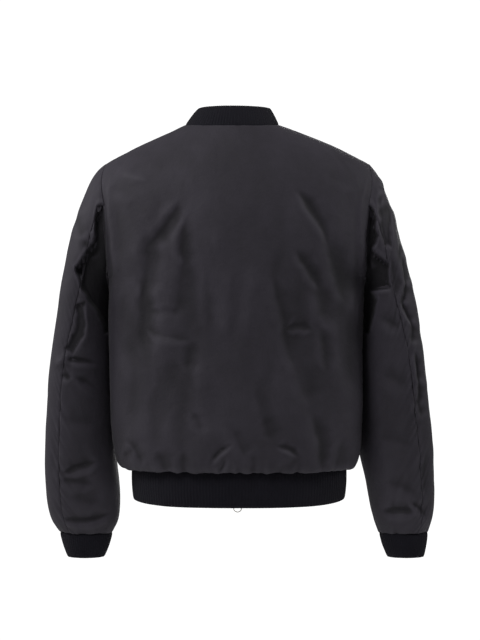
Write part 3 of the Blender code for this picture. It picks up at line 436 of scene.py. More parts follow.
def makeShell(name, outer, normals, wall, uv, wearAndShade=None, wrap=False):
    # a closed wall: a fine outer grid, and an inner one with fewer of its points, moved in
    # along the normals
    thin = (slice(None, None, innerParts),) * 2
    innerPoints = (outer - wall * normals)[thin]
    outerIds = np.arange(outer[..., 0].size).reshape(outer.shape[:2])
    innerIds = outerIds.size + np.arange(innerPoints[..., 0].size).reshape(innerPoints.shape[:2])
    across = np.cross(outer[1:, :-1] - outer[:-1, :-1], outer[:-1, 1:] - outer[:-1, :-1])
    flip = np.median(np.sum(across * normals[:-1, :-1], axis=-1)) > 0
    four = quads(outerIds, wrap)
    back = quads(innerIds, wrap)
    four, back = (four[:, ::-1], back) if flip else (four, back[:, ::-1])
    edges = [(outerIds[0], innerIds[0], False), (outerIds[-1], innerIds[-1], True)]
    if wrap:
        edges = [(np.append(a, a[0]), np.append(b, b[0]), turned) for a, b, turned in edges]
    else:
        edges.append((outerIds[:, 0], innerIds[:, 0], True))
        edges.append((outerIds[:, -1], innerIds[:, -1], False))
    three = []
    for first, second, turned in edges:
        faces = rimFaces(first, second)
        three.append(faces[:, ::-1] if turned == flip else faces)
    points = np.concatenate([outer.reshape(-1, 3), innerPoints.reshape(-1, 3)])
    values = {"uv": np.concatenate([uv.reshape(-1, 2), uv[thin].reshape(-1, 2)])}
    if wearAndShade is not None:
        values["wearAndShade"] = np.concatenate([wearAndShade.reshape(-1), np.zeros(innerPoints[..., 0].size)])
    return makeMesh(name, points, [four, back, *three], values)


def makeMesh(name, points, faceGroups, values=None, sharpAngle=None):
    # a named object from points in millimetres and arrays of faces. values may hold
    # "uv", metres along the cloth, and for each point its rubbed wear above 0 and its painted fold shade
    # below 0
    mesh = bpy.data.meshes.new(name)
    loops = np.concatenate([group.reshape(-1) for group in faceGroups])
    sizes = np.concatenate([np.full(len(group), group.shape[1]) for group in faceGroups])
    starts = np.concatenate([[0], np.cumsum(sizes)[:-1]])
    mesh.vertices.add(len(points))
    mesh.vertices.foreach_set("co", (points * mm).astype(np.float32).ravel())
    mesh.loops.add(len(loops))
    mesh.loops.foreach_set("vertex_index", loops.astype(np.int32))
    mesh.polygons.add(len(sizes))
    mesh.polygons.foreach_set("loop_start", starts.astype(np.int32))
    mesh.update(calc_edges=True)
    values = values or {}
    if "uv" in values:
        layer = mesh.uv_layers.new(name="cloth")
        layer.data.foreach_set("uv", values["uv"][loops].astype(np.float32).ravel())
    if "wearAndShade" in values:
        wearAndShade = mesh.attributes.new("wearAndShade", "FLOAT", "POINT")
        wearAndShade.data.foreach_set("value", values["wearAndShade"].astype(np.float32))
    mesh.validate()
    mesh.shade_smooth()
    if sharpAngle:
        mesh.set_sharp_from_angle(angle=math.radians(sharpAngle))
    thing = bpy.data.objects.new(name, mesh)
    bpy.context.collection.objects.link(thing)
    return thing


# shader maths
class Wire:
    # a shader socket, or a number, that Python's own operators add Math nodes to
    def __init__(self, make, socket):
        self.make, self.socket = make, socket

    def math(self, kind, other=None, flipped=False):
        values = [self] if other is None else [self, other]
        return self.make("ShaderNodeMath", {"operation": kind}, values[::-1] if flipped else values)

    def __add__(self, other):
        return self.math("ADD", other)

    def __radd__(self, other):
        return self.math("ADD", other)

    def __sub__(self, other):
        return self.math("SUBTRACT", other)

    def __rsub__(self, other):
        return self.math("SUBTRACT", other, True)

    def __mul__(self, other):
        return self.math("MULTIPLY", other)

    def __rmul__(self, other):
        return self.math("MULTIPLY", other)

    def __abs__(self):
        return self.math("ABSOLUTE")

    def sin(self):
        return self.math("SINE")

    def clamp(self):
        return self.math("MINIMUM", 1.0).math("MAXIMUM", 0.0)


class Finish:
    # one material: its shader's fixed values, and the nodes that vary over the surface
    def __init__(self, name, colour, roughness, **fixed):
        self.material = bpy.data.materials.new(name)
        self.material.use_nodes = True
        self.tree = self.material.node_tree
        self.shader = self.tree.nodes["Principled BSDF"]
        self.shader.inputs["Base Color"].default_value = (*colour, 1.0)
        self.shader.inputs["Roughness"].default_value = roughness
        for socket, value in fixed.items():
            self.shader.inputs[socket.replace("_", " ")].default_value = value
        self.material.diffuse_color = (*colour, 1.0)

    def node(self, kind, settings=None, values=None, output=0):
        # any node: its settings are set first, then its sockets' values or links
        node = self.tree.nodes.new(kind)
        for key, value in (settings or {}).items():
            setattr(node, key, value)
        pairs = values.items() if isinstance(values, dict) else enumerate(values or [])
        for socket, value in pairs:
            if isinstance(value, Wire):
                self.tree.links.new(value.socket, node.inputs[socket])
            else:
                node.inputs[socket].default_value = value
        return Wire(self.node, node.outputs[output])

    def onPiece(self):
        # the place on the piece, in metres
        return self.node("ShaderNodeTexCoord", None, None, "Object")

    def alongCloth(self):
        # the place along the cloth, across it and up it, in metres
        return self.node("ShaderNodeUVMap", {"uv_map": "cloth"})

    def split(self, vector):
        parts = self.node("ShaderNodeSeparateXYZ", None, [vector])
        owner = parts.socket.node
        return [Wire(self.node, owner.outputs[i]) for i in range(3)]

    def blotches(self, vector, scale, detail=2.0, rough=0.5):
        # noise from 0 to 1 with so many blotches to the metre
        values = {"Vector": vector, "Scale": scale, "Detail": detail, "Roughness": rough}
        return self.node("ShaderNodeTexNoise", None, values, "Fac")

    def mix(self, amount, first, second):
        # between two colours
        settings = {"data_type": "RGBA"}
        values = {0: amount, 6: (*first, 1.0) if isinstance(first, tuple) else first}
        values[7] = (*second, 1.0) if isinstance(second, tuple) else second
        return self.node("ShaderNodeMix", settings, values, 2)

    def drive(self, socket, value):
        self.tree.links.new(value.socket, self.shader.inputs[socket])

    def bump(self, height, distance, strength=1.0, under=None):
        # a relief of so many metres
        values = {"Strength": strength, "Distance": distance, "Height": height}
        if under is not None:
            values["Normal"] = under
        return self.node("ShaderNodeBump", None, values)


def makeShellFinish():
    look = {
        "dark": (0.0235, 0.0206, 0.0278),
        "light": (0.0400, 0.0352, 0.0480),
        "worn": (0.068, 0.062, 0.080),
        # painted shade: the colour the cloth is painted down in its folds and pockets, where shadow falls
        "foldShadeColour": (0.0065, 0.0056, 0.0080),
        "foldShadeStrength": 0.78,  # how much painted shade darkens the cloth down in its folds
        "rubbed": 0.3,  # and how much paler on its ridges
        "threadPitch": 0.00072,
    }
    finish = Finish("waxed_cotton", (0.033, 0.030, 0.037), 0.72, Specular_IOR_Level=0.3,
                    Sheen_Weight=0.03, Sheen_Roughness=0.5)
    place = finish.onPiece()
    cloth = finish.alongCloth()
    # per point: rubbed wear on ridges above 0, painted shade in folds and pockets below 0
    rubAndShade = finish.node("ShaderNodeAttribute", {"attribute_name": "wearAndShade"}, None, "Fac")
    large = finish.blotches(place, 9.0, 3.0, 0.55)
    small = finish.blotches(place, 70.0, 3.0, 0.6)
    u, v, _ = finish.split(cloth)
    turn = math.tau / look["threadPitch"]
    slub = finish.blotches(cloth, 900.0, 1.0)
    weave = (u * turn).sin() * (v * turn).sin()
    tone = (large * 1.5 - 0.45 + (small - 0.5) * 0.55 + weave * 0.05).clamp()
    base = finish.mix(tone, look["dark"], look["light"])
    # painted shade darkens the folds and pockets; then rubbed wear pales the ridges
    base = finish.mix((rubAndShade * -look["foldShadeStrength"]).clamp(), base, look["foldShadeColour"])
    finish.drive("Base Color", finish.mix((rubAndShade * look["rubbed"]).clamp(), base, look["worn"]))
    finish.drive("Roughness", 0.74 - (large - 0.5) * 0.14 - rubAndShade.clamp() * 0.1 + (small - 0.5) * 0.1)
    fold = finish.bump(finish.blotches(place, 38.0, 5.0, 0.62), 0.0034, 0.5)
    finish.drive("Normal", finish.bump(weave * 0.5 + slub, 0.00006, 0.5, fold))
    return finish.material


def makeKnitFinish():
    look = {
        "dark": (0.0058, 0.0054, 0.0088),
        "light": (0.0118, 0.0110, 0.0168),
        "rowPitch": 0.0013,
        "armPitch": 0.0021,  # of the loops' slanted arms across the rib
        "armRise": 0.0007,
    }
    finish = Finish("rib_knit", (0.006, 0.0056, 0.009), 0.9, Specular_IOR_Level=0.14,
                    Sheen_Weight=0.03, Sheen_Roughness=0.5)
    place = finish.onPiece()
    cloth = finish.alongCloth()
    u, v, _ = finish.split(cloth)
    turn = math.tau / look["rowPitch"]
    arm = abs((u * (math.pi / look["armPitch"])).sin())
    loops = ((v + arm * look["armRise"]) * turn).sin() * 0.5 + 0.5
    fuzz = finish.blotches(place, 1400.0, 2.0)
    large = finish.blotches(place, 30.0, 2.0)
    tone = (loops * 0.45 + fuzz * 0.4 + (large - 0.5) * 0.5).clamp()
    finish.drive("Base Color", finish.mix(tone, look["dark"], look["light"]))
    finish.drive("Normal", finish.bump(loops + fuzz * 0.6, 0.0004, 0.7))
    return finish.material


def makeTapeFinish():
    look = {
        "dark": (0.006, 0.006, 0.008),
        "light": (0.015, 0.015, 0.018),
        "rowPitch": 0.0008,
        "zigzagPitch": 0.0024,
        "zigzagRise": 0.0009,
    }
    finish = Finish("zip_tape", (0.010, 0.010, 0.012), 0.8, Specular_IOR_Level=0.3)
    cloth = finish.alongCloth()
    u, v, _ = finish.split(cloth)
    zigzag = abs((u * (math.pi / look["zigzagPitch"])).sin())
    weave = ((v + zigzag * look["zigzagRise"]) * (math.tau / look["rowPitch"])).sin() * 0.5 + 0.5
    finish.drive("Base Color", finish.mix(weave, look["dark"], look["light"]))
    finish.drive("Normal", finish.bump(weave, 0.00018, 0.7))
    return finish.material


def makeMetalFinish(name, colour, roughness):
    finish = Finish(name, colour, roughness, Metallic=1.0)
    place = finish.onPiece()
    cloud = finish.blotches(place, 260.0, 3.0)
    scratch = finish.blotches(place, 2600.0, 2.0)
    darker = tuple(0.72 * part for part in colour)
    finish.drive("Base Color", finish.mix((cloud * 1.4 - 0.2).clamp(), darker, colour))
    finish.drive("Roughness", roughness - 0.08 + cloud * 0.14 + scratch * 0.06)
    finish.drive("Normal", finish.bump(scratch, 0.00002, 0.5))
    return finish.material


def makeThreadFinish():
    look = {"dark": (0.009, 0.008, 0.010), "light": (0.022, 0.020, 0.025)}
    finish = Finish("sewing_thread", (0.014, 0.013, 0.016), 0.6, Specular_IOR_Level=0.35)
    place = finish.onPiece()
    twist = finish.blotches(place, 3000.0, 1.0)
    finish.drive("Base Color", finish.mix(twist, look["dark"], look["light"]))
    return finish.material


shellFinish, knitFinish, tapeFinish = makeShellFinish(), makeKnitFinish(), makeTapeFinish()
nickel = makeMetalFinish("nickel", (0.70, 0.68, 0.63), 0.32)
threadFinish = makeThreadFinish()
print("finishes made")


def dress(thing, material, bodyName, slot, *nodes):
    # gives a piece its finish and its body, and hides the nodes it stands for
    thing.data.materials.append(material)
    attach(thing, bodyName)
    if nodes:
        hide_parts(*nodes)


# body panels
panelLook = {
    "step": 2.1,  # of the fine grid
    "wall": 1.8,
    "crumple": 0.9,
    "crumpleEdge": 9.0,  # how far from an edge the cloth has its full crumple
    "creaseEdge": 14.0,
    "drape": 2.8,
    "drapeEdge": 40.0,
    "drapeDrop": 170.0,  # and how far under the shoulders' tips its full drape
    "seamRoll": 1.1,  # how far an edge rolls in at its seam
    "flatSeamZ": -150.0,  # above this, an armhole's seam lies nearly flat
    "flatSeamFade": 120.0,
    "pucker": 0.9,
    "puckerReach": 9.0,
    "hemPucker": 1.7,
    "hemPuckerReach": 16.0,
}


def creaseTable(rows):
    # creases: both ends, how far the line bends, half-width, depth and how soft the bottom
    # is, from 1, sharp, to 2, round
    return columns("x1 z1 x2 z2 bend width depth sharp", rows)


def mirrored(table, side, deeper=1.0):
    # a table of creases given for the wearer's left, turned to one side
    turned = {name: side * table[name] for name in ("x1", "x2", "bend")}
    return {**table, **turned, "depth": deeper * table["depth"]}


backCreases = creaseTable([
    (96, -146, 146, -212, 5, 9, 4.6, 2.2),
    (148, -196, 158, -300, 3, 12, 5, 2.4),
    (158, -280, 150, -396, 0, 13, 3.6, 2.4),
    (168, -260, 176, -430, 0, 17, 2.6, 2),
    (81, -172, 84, -246, -3, 9, 3, 2),
    (84, -236, 104, -330, 3, 9, 2.2, 2),
    (26, -240, 20, -380, 0, 17, -2.2, 2),
    (-22, -235, -20, -375, 0, 12, -2.4, 2),
    (2, -258, 4, -370, 0, 12, 2.6, 2.2),
    (46, -262, 44, -360, 0, 9, 2, 2),
    (-102, -124, -152, -208, 5, 8, 5, 2),
    (-146, -196, -184, -306, 3, 12, 4.6, 2.2),
    (-99, -222, -136, -282, 3, 8, 3.6, 2),
    (-136, -270, -152, -350, 0, 12, 2.8, 2.2),
    (-62, -272, -82, -356, 2, 9, 3, 2),
    (-82, -340, -104, -424, -3, 11, 3.2, 2.2),
    (-84, -350, -122, -354, 5, 6, 2.8, 1.6),
    (-100, -410, -122, -474, 0, 13, 2.4, 2.2),
    (-139, -356, -150, -418, 2, 9, 2.6, 2),
    (-176, -300, -186, -450, 0, 15, 2.6, 2.2),
    (148, -352, 84, -372, -3, 7, 2.4, 1.8),
    (98, -318, 146, -326, 2, 6, 1.6, 1.8),
    (76, -376, 84, -424, 0, 9, 2, 2),
    (66, -416, 62, -460, 0, 8, -1.4, 2),
    (128, -400, 136, -520, 2, 13, 2.2, 2.2),
    (67, -494, 56, -526, 0, 7, 1.8, 1.8),
    (44, -576, 12, -548, 3, 4, 3.8, 1.6),
    (32, -594, 20, -566, -2, 3.4, 2.2, 1.6),
    (12, -512, -18, -570, 3, 10, 3, 2),
    (-66, -548, -100, -562, 2, 4, 3, 1.6),
    (-60, -580, -96, -566, 2, 7, -1.6, 2),
    (-130, -500, -144, -590, 3, 10, 4.4, 2),
    (-46, -494, -58, -536, 0, 9, 1.8, 2),
    (184, -538, 158, -578, 3, 8, 3.4, 1.8),
    (176, -556, 198, -568, 0, 6, 2.2, 1.6),
    (128, -552, 118, -594, 0, 8, 2.2, 1.8),
    (88, -556, 94, -596, 0, 7, 1.8, 1.8),
    (-30, -556, -24, -594, 0, 7, 1.8, 1.8),
    (-176, -540, -168, -592, 0, 8, 2.4, 1.8),
    (219, -104, 212, -330, 3, 5, -2.6, 2),
    (-217, -104, -209, -330, -3, 5, -2.4, 2),
    (196, -95, 150, -106, 2, 7, -1.6, 1.8),
    (214, -112, 168, -124, 2, 8, 1.2, 1.8),
    (-150, -84, -196, -112, 2, 10, 1.2, 2),
    (190, -290, 204, -430, 0, 13, 2, 2),
    (-198, -320, -202, -480, 0, 14, 2, 2),
])
# creases in the fronts, in the wearer's left one, and mirrored with other depths in the right
frontCreases = creaseTable([
    (196, -170, 118, -268, 4, 11, 4.2, 1.4),
    (186, -222, 140, -300, 3, 10, 3.6, 1.4),
    (150, -320, 142, -450, 3, 14, 3, 1.8),
    (62, -250, 54, -380, 2, 15, 2.2, 2),
    (98, -96, 70, -180, 3, 13, 2, 2),
    (30, -400, 92, -424, 4, 9, 2.6, 1.5),
    (24, -470, 76, -500, 3, 8, 2.8, 1.4),
    (70, -505, 82, -606, 2, 10, 3.4, 1.5),
    (160, -520, 150, -592, 2, 10, 3.4, 1.5),
    (120, -545, 112, -598, 2, 7, 2.4, 1.4),
    (36, -560, 44, -612, 1, 7, 2.2, 1.4),
    (196, -340, 200, -480, 2, 13, 2.2, 2),
    (104, -350, 120, -410, 2, 10, 2.2, 1.6),
    (176, -480, 128, -500, 3, 8, 2.2, 1.5),
])


def seamPull(away, along, roll, pucker, reach, seed):
    # beside a seam the cloth rolls in, and gathers in short uneven waves that die out
    wave = noise(along, 0 * along, 7.0, seed) + 0.6 * noise(along, 0 * along, 13.0, seed + 1)
    return -roll * np.exp(-((away / 1.9) ** 2)) + pucker * wave * np.exp(-away / reach)


def finePanel(coarse, corners):
    # the panel's fine grid. The armpit's and the neck's corners stay sharp at the edges, and
    # away from them the surface has no crease
    armpit = len(body["z"]) - 1
    places = evenPlaces(coarse, panelLook["step"], [armpit])
    columnCount = coarse.shape[1]
    fromSide = np.abs(np.arange(columnCount) - corners["middle"]) / corners["reach"]
    edge = ease((fromSide - 0.88) / 0.1)[None, :, None]  # 1 at the side edges alone
    whole, parted = splined(coarse, places), splinedInParts(coarse, places, armpit)
    tall = whole + (parted - whole) * edge
    along = evenPlaces(coarse.transpose(1, 0, 2), panelLook["step"], corners["neck"])
    turned = tall.transpose(1, 0, 2)
    whole = splined(turned, along)
    stops = [0, *corners["neck"], columnCount - 1]
    parted = np.concatenate(
        [
            splined(turned[a : b + 1], along[(along >= a) & ((along < b) | (b == stops[-1]))] - a)
            for a, b in zip(stops[:-1], stops[1:])
        ]
    )
    nearTop = 1.6
    top = ease((places - (len(coarse) - nearTop)) / nearTop)[None, :, None]
    return (whole + (parted - whole) * top).transpose(1, 0, 2)


def makePanel(name, coarse, corners, table, seed, sideSeams):
    # a body panel with its creases. sideSeams says which of its two long edges are gathered
    look = panelLook
    grid = finePanel(coarse, corners)
    middle = grid * [0.0, 0.0, 1.0]
    normals = surfaceNormals(grid, middle)
    u, v = arcs(grid, 1), arcs(grid, 0)
    x, z = grid[..., 0], grid[..., 2]
    fromTop, fromFar = v[-1:] - v, u[:, -1:] - u
    edges = np.minimum(np.minimum(v, fromTop), np.minimum(u, fromFar))
    free = ease(edges / look["crumpleEdge"])
    depth = creased(x, z, table, seed + 60)
    depth *= ease(np.minimum(fromTop, edges + 6) / look["creaseEdge"])
    hang = drape(x + 400, z + 900, seed + 50) * ease((cut["shoulderTipZ"] - z) / look["drapeDrop"])
    depth -= look["drape"] * hang * ease(edges / look["drapeEdge"])
    height = look["crumple"] * crumple(u + 500, v + 500, seed) * free - depth
    roll, pucker, reach = look["seamRoll"], look["pucker"], look["puckerReach"]
    height += seamPull(v, u[:1] + 500, roll, look["hemPucker"], look["hemPuckerReach"], seed + 10)
    height += seamPull(fromTop, u[-1:] + 500, 0.5 * roll, 0.35 * pucker, 8.0, seed + 20)
    lowPart = 0.15 + 0.5 * ease((look["flatSeamZ"] - z) / look["flatSeamFade"])
    for away, sewn, which in ((u, sideSeams[0], 30), (fromFar, sideSeams[1], 40)):
        amount = pucker if sewn else 0.3 * pucker
        height += lowPart * seamPull(away, v + 500, roll, amount, reach, seed + which)
    outer = grid + normals * height[..., None]
    # rubbed wear on ridges, and painted shade in the creases
    wearAndShade = wearAndFoldShade(outer, normals, depth)
    uv = np.stack([u, v], axis=-1) * mm
    normals = surfaceNormals(outer, middle)
    return makeShell(name, outer, normals, look["wall"], uv, wearAndShade), outer, normals


def wearAndFoldShade(outer, normals, depth):
    # waxed cloth rubs pale where it stands out from its neighbours by a millimetre, which is wear,
    # and the dark in a fold or pocket is painted shade: 1 is most rubbed, and below 0 is painted shade
    step = 3
    padded = np.pad(outer, ((step, step), (step, step), (0, 0)), mode="edge")
    inner, ahead, behind = slice(step, -step), slice(2 * step, None), slice(None, -2 * step)
    sides = (padded[inner, ahead] + padded[inner, behind]) / 2
    ends = (padded[ahead, inner] + padded[behind, inner]) / 2
    out = np.sum((outer - (sides + ends) / 2) * normals, axis=-1)
    pale = np.clip(out / 1.1 - 0.1, 0.0, 1.0)
    # painted shade down in creases and pockets, where shadow falls
    shade = np.clip(np.maximum(depth, 0.0) / 6.0 - out / 1.6, 0.0, 1.0) * ease(depth / 2.0 + 0.3)
    # with more painted shade in pockets deeper than 8 mm
    return pale - shade - 0.5 * ease((depth - 8.0) / 6.0)


neckCount = cut["neckColumns"]
count = neckCount + cut["shoulderColumns"]
rightHalf, leftHalf = halfPanel(1, -1), halfPanel(1, 1)
backCoarse = np.concatenate([rightHalf[:, ::-1], leftHalf[:, 1:]], axis=1)
# which column is the middle, how many there are from it to a side, and the neck's corners
backCorners = {"middle": count, "reach": count, "neck": [count - neckCount, count + neckCount]}
frontCorners = {"middle": 0, "reach": count, "neck": [neckCount]}
back, _, _ = makePanel("back_cloth", backCoarse, backCorners, backCreases, 11, (True, True))
dress(back, shellFinish, "jacket", "shell_cloth", "back")
frontCoarse, fronts = {}, {}
for sideName, side, deeper in (("left", 1, 1.0), ("right", -1, 0.85)):
    name, table = f"front_{sideName}_cloth", mirrored(frontCreases, side, deeper)
    frontCoarse[sideName] = halfPanel(-1, side)
    made = makePanel(name, frontCoarse[sideName], frontCorners, table, 200 + side, (False, True))
    dress(made[0], shellFinish, "jacket", "shell_cloth", f"front_{sideName}")
    fronts[sideName] = made
print("body panels made")

# sleeves
sleeveOuter = columns("z left right", [
    (-716, 307, 332),
    (-706, 312, 333),
    (-692, 321.5, 338),
    (-676, 327.5, 341.5),
    (-655, 331.5, 343),
    (-620, 334, 342.5),
    (-540, 332.5, 338),
    (-480, 329.5, 331),
    (-427, 325.5, 325.5),
    (-372, 318.5, 318.5),
    (-317, 310, 310),
    (-275, 304.5, 301.5),
    (-233, 295.8, 292.5),
    (-206, 290.6, 285.5),
    (-178, 283.7, 277.5),
    (-150, 275, 270),
    (-123, 264.7, 259.5),
    (-109, 259, 254),
    (-95, 252, 247.4),
    (-81, 243, 239),
    (-67, 227.3, 227.3),
])
sleeveInner = columns("z left right", [
    (-716, 221, 250),
    (-706, 217, 246),
    (-692, 210, 240.5),
    (-664, 206, 233),
    (-634, 206.5, 227.5),
    (-600, 209.5, 220),
    (-570, 213, 213.5),
    (-540, 213.5, 210.5),
    (-480, 215.5, 211),
    (-380, 217.5, 213),
    (-340, 219, 214.8),
    (-310, 220, 216.8),
    (-290, 220.6, 218),
    (-280, 221, 219.2),
    (-270, 221.3, 221.3),
])
sleeveRings = columns("outerZ outerY innerZ innerY halfDepth elbow", [
    (-67, 2, -270, 2, 62, 75),
    (-77, 2, -276, 0, 65, 75),
    (-93, 3, -283, -6, 67.5, 75),
    (-114, 4, -291, -14, 69.5, 75),
    (-140, 5, -300, -22, 70.5, 76),
    (-170, 6, -311, -29, 71, 77),
    (-204, 7, -325, -35, 71, 78),
    (-242, 8, -343, -40, 70.5, 77),
    (-282, 9, -365, -43, 70, 73),
    (-324, 9, -391, -45, 69, 68),
    (-368, 8, -422, -46, 67, 63),
    (-412, 6, -455, -46, 65, 60),
    (-457, 3, -491, -46, 62.5, 58),
    (-502, -1, -528, -46, 60, 57),
    (-546, -6, -565, -45, 58, 56),
    (-588, -12, -602, -44, 55.5, 56),
    (-626, -18, -635, -43, 53, 56),
    (-657, -24, -663, -41, 50, 56),
    (-681, -29, -685, -39, 45.5, 56),
    (-697, -32, -699, -37, 39, 57),
    (-708, -34, -709, -36, 33, 58),
])
sleeveCut = {
    "forearmSeam": -105.0,
    "halfColumns": 12,
    "innerRoundness": 2.1,
    "settledRing": 6,
    "armholeShapedRings": 4,
    "seamGap": 0.1,
}
sleeveLook = {
    "step": 2.2,
    "wall": 1.8,
    "crumple": 0.75,
    "crumpleEdge": 8.0,
    "seamRoll": 1.0,
    "pucker": 0.9,
    "puckerReach": 9.0,
    "cuffPucker": 1.6,
    "cuffPuckerReach": 14.0,
    "facing": (-0.2, 0.45),  # how far a normal has turned where creases start, and how much
    "outlineFacing": (-0.9, 0.5),  # further where they are full: to the back, and outwards
}
# creases on the side of each sleeve that faces back, which differ from left to right
leftSleeveCreases = creaseTable([
    (266, -198, 240, -226, 2, 9, 3, 1.6),
    (262, -318, 266, -380, 2, 7, -2.6, 1.8),
    (250, -300, 232, -372, 3, 9, 3.6, 1.5),
    (292, -404, 228, -413, 3, 5, 5.5, 1.4),
    (300, -434, 284, -438, 1, 5, 3.6, 1.2),
    (273, -434, 234, -460, 2, 7, 4, 1.4),
    (310, -418, 284, -398, 1, 6, -3.4, 1.8),
    (300, -505, 236, -512, 3, 12, 2.2, 1.8),
    (300, -598, 244, -582, 2, 6, 6, 1.2),
    (306, -612, 250, -616, 3, 8, 3.2, 1.5),
    (300, -680, 222, -674, -4, 7, 6.5, 1.2),
    (286, -640, 236, -650, 3, 10, 2.4, 1.8),
    (316, -520, 318, -600, 1, 10, 1.6, 2),
    (282, -150, 262, -196, 2, 9, 2, 1.7),
])
rightSleeveCreases = creaseTable([
    (-252, -100, -264, -144, 2, 6, 5, 1.3),
    (-248, -92, -237, -150, 2, 5, -3.4, 1.8),
    (-230, -216, -232, -252, 1, 5, -4, 1.8),
    (-272, -160, -279, -240, 3, 6, 4.2, 1.3),
    (-262, -226, -272, -300, 3, 8, 3.4, 1.5),
    (-284, -226, -294, -276, 3, 5, 7, 1.3),
    (-295, -272, -283, -308, 2, 5, 7, 1.3),
    (-283, -304, -301, -342, 2, 5, 7, 1.3),
    (-302, -338, -296, -372, 2, 6, 5.5, 1.3),
    (-240, -330, -276, -352, 3, 10, 3, 1.6),
    (-304, -390, -315, -442, 2, 5, 7, 1.3),
    (-315, -438, -309, -478, 2, 5, 6.4, 1.3),
    (-304, -470, -313, -502, 2, 6, 3.8, 1.3),
    (-236, -430, -290, -448, 3, 12, 2.2, 1.8),
    (-240, -540, -300, -552, 3, 12, 2, 1.8),
    (-246, -668, -304, -667, 2, 7, 7, 1.2),
    (-300, -650, -326, -676, 2, 6, 3.6, 1.4),
    (-250, -620, -306, -630, 3, 10, 2.4, 1.7),
    (-320, -560, -326, -640, 2, 8, 2.8, 1.6),
])
# creases on the side that faces forward, given for the left sleeve
frontSleeveCreases = creaseTable([
    (232, -150, 252, -216, 3, 9, 5, 1.4),
    (228, -232, 268, -262, 3, 9, 6, 1.4),
    (286, -190, 262, -240, 2, 9, 3, 1.6),
    (232, -322, 300, -344, 4, 8, 6, 1.3),
    (226, -372, 306, -378, 4, 8, 7, 1.3),
    (230, -416, 304, -404, -4, 8, 6, 1.3),
    (252, -446, 312, -440, 3, 8, 4, 1.4),
    (240, -505, 300, -516, 3, 11, 2.8, 1.7),
    (232, -566, 298, -580, 3, 8, 4, 1.5),
    (238, -622, 300, -618, -3, 9, 3.4, 1.5),
    (236, -664, 308, -672, 3, 7, 6, 1.3),
    (306, -270, 300, -330, 2, 8, 3, 1.6),
])
# pockets where a sleeve folds in beside its armhole: an outline, its depth and the width of
# its slope. The ones in front are given for the left sleeve
sleevePockets = {
    "left": [
        ([(222, -134), (236, -146), (243, -204), (274, -248), (256, -300), (238, -326), (226, -356),
          (212, -356), (212, -134)], 19.0, 7.0),
        ([(262, -306), (271, -310), (276, -356), (293, -386), (280, -394), (262, -362)], 6.0, 7.0),
    ],
    "right": [
        ([(-220, -138), (-230, -150), (-237, -196), (-228, -214), (-236, -226), (-256, -246),
          (-256, -280), (-230, -288), (-237, -306), (-225, -360), (-212, -360), (-212, -138)], 18.0, 6.0),
        ([(-242, -112), (-251, -110), (-262, -150), (-259, -212), (-247, -210), (-240, -160)], 5.0, 8.0),
    ],
    "front": [
        ([(224, -160), (234, -178), (240, -214), (250, -250), (238, -286), (226, -316), (214, -316),
          (214, -160)], 8.0, 15.0),
    ],
}


def sleeveAngles():
    # angles from the outer outline, for each ring of a sleeve and each point round it
    elbow, forearm = sleeveRings["elbow"][:, None], sleeveCut["forearmSeam"]
    column = np.arange(2 * sleeveCut["halfColumns"]) / sleeveCut["halfColumns"]
    upper = forearm + (elbow - forearm) * column
    under = elbow + (forearm + 360 - elbow) * (column - 1)
    return np.where(column < 1, upper, under)


def sleeveGrid(side):
    # rings around a sleeve from the armhole down: each is a rounded oval between a point of
    # the outer outline and one of the inner, and the first ones take the armhole's shape
    sideName = "left" if side > 0 else "right"
    ends = []
    for end, outline in (("outer", sleeveOuter), ("inner", sleeveInner)):
        y, z = sleeveRings[end + "Y"], sleeveRings[end + "Z"]
        ends.append(np.stack([smooth(z, outline, sideName), y, z], axis=-1)[:, None])
    centre, reach = (ends[0] + ends[1]) / 2, (ends[0] - ends[1]) / 2
    angle = sleeveAngles()
    turn = np.radians(angle)
    ring = np.arange(len(angle))[:, None]
    rounder = (sleeveCut["innerRoundness"] - 2) * ease(ring / sleeveCut["settledRing"])
    power = 2 + rounder * (np.cos(turn) < 0)
    c = np.sign(np.cos(turn)) * np.abs(np.cos(turn)) ** (2 / power)
    s = np.sign(np.sin(turn)) * np.abs(np.sin(turn)) ** (2 / power)
    grid = (centre + reach * c[..., None]) * [side, 1.0, 1.0]
    grid[..., 1] += sleeveRings["halfDepth"][:, None] * s
    armhole = armholeEdge(angle, side)
    edgeZ = np.array([cut["armpitZ"], cut["shoulderTipZ"]])
    edgeX = smooth(edgeZ, chest, "armholeX") + sleeveCut["seamGap"]
    straight = np.interp(armhole[..., 2], edgeZ, edgeX)
    likeArmhole = ease(1 - ring / sleeveCut["armholeShapedRings"])
    grid[..., 0] += likeArmhole * (armhole[..., 0] - side * straight)
    grid[0] = armhole[0] + [side * sleeveCut["seamGap"], 0.0, 0.0]
    return grid, centre * [side, 1.0, 1.0]


def turnedTo(amount, limits):
    # 0 to 1 as a part of a normal goes from the first limit up by the second
    return ease((amount - limits[0]) / limits[1])


def pressed(pockets, x, z, seed):
    return sum(hollowed(x, z, *pocket, seed) for pocket in pockets)


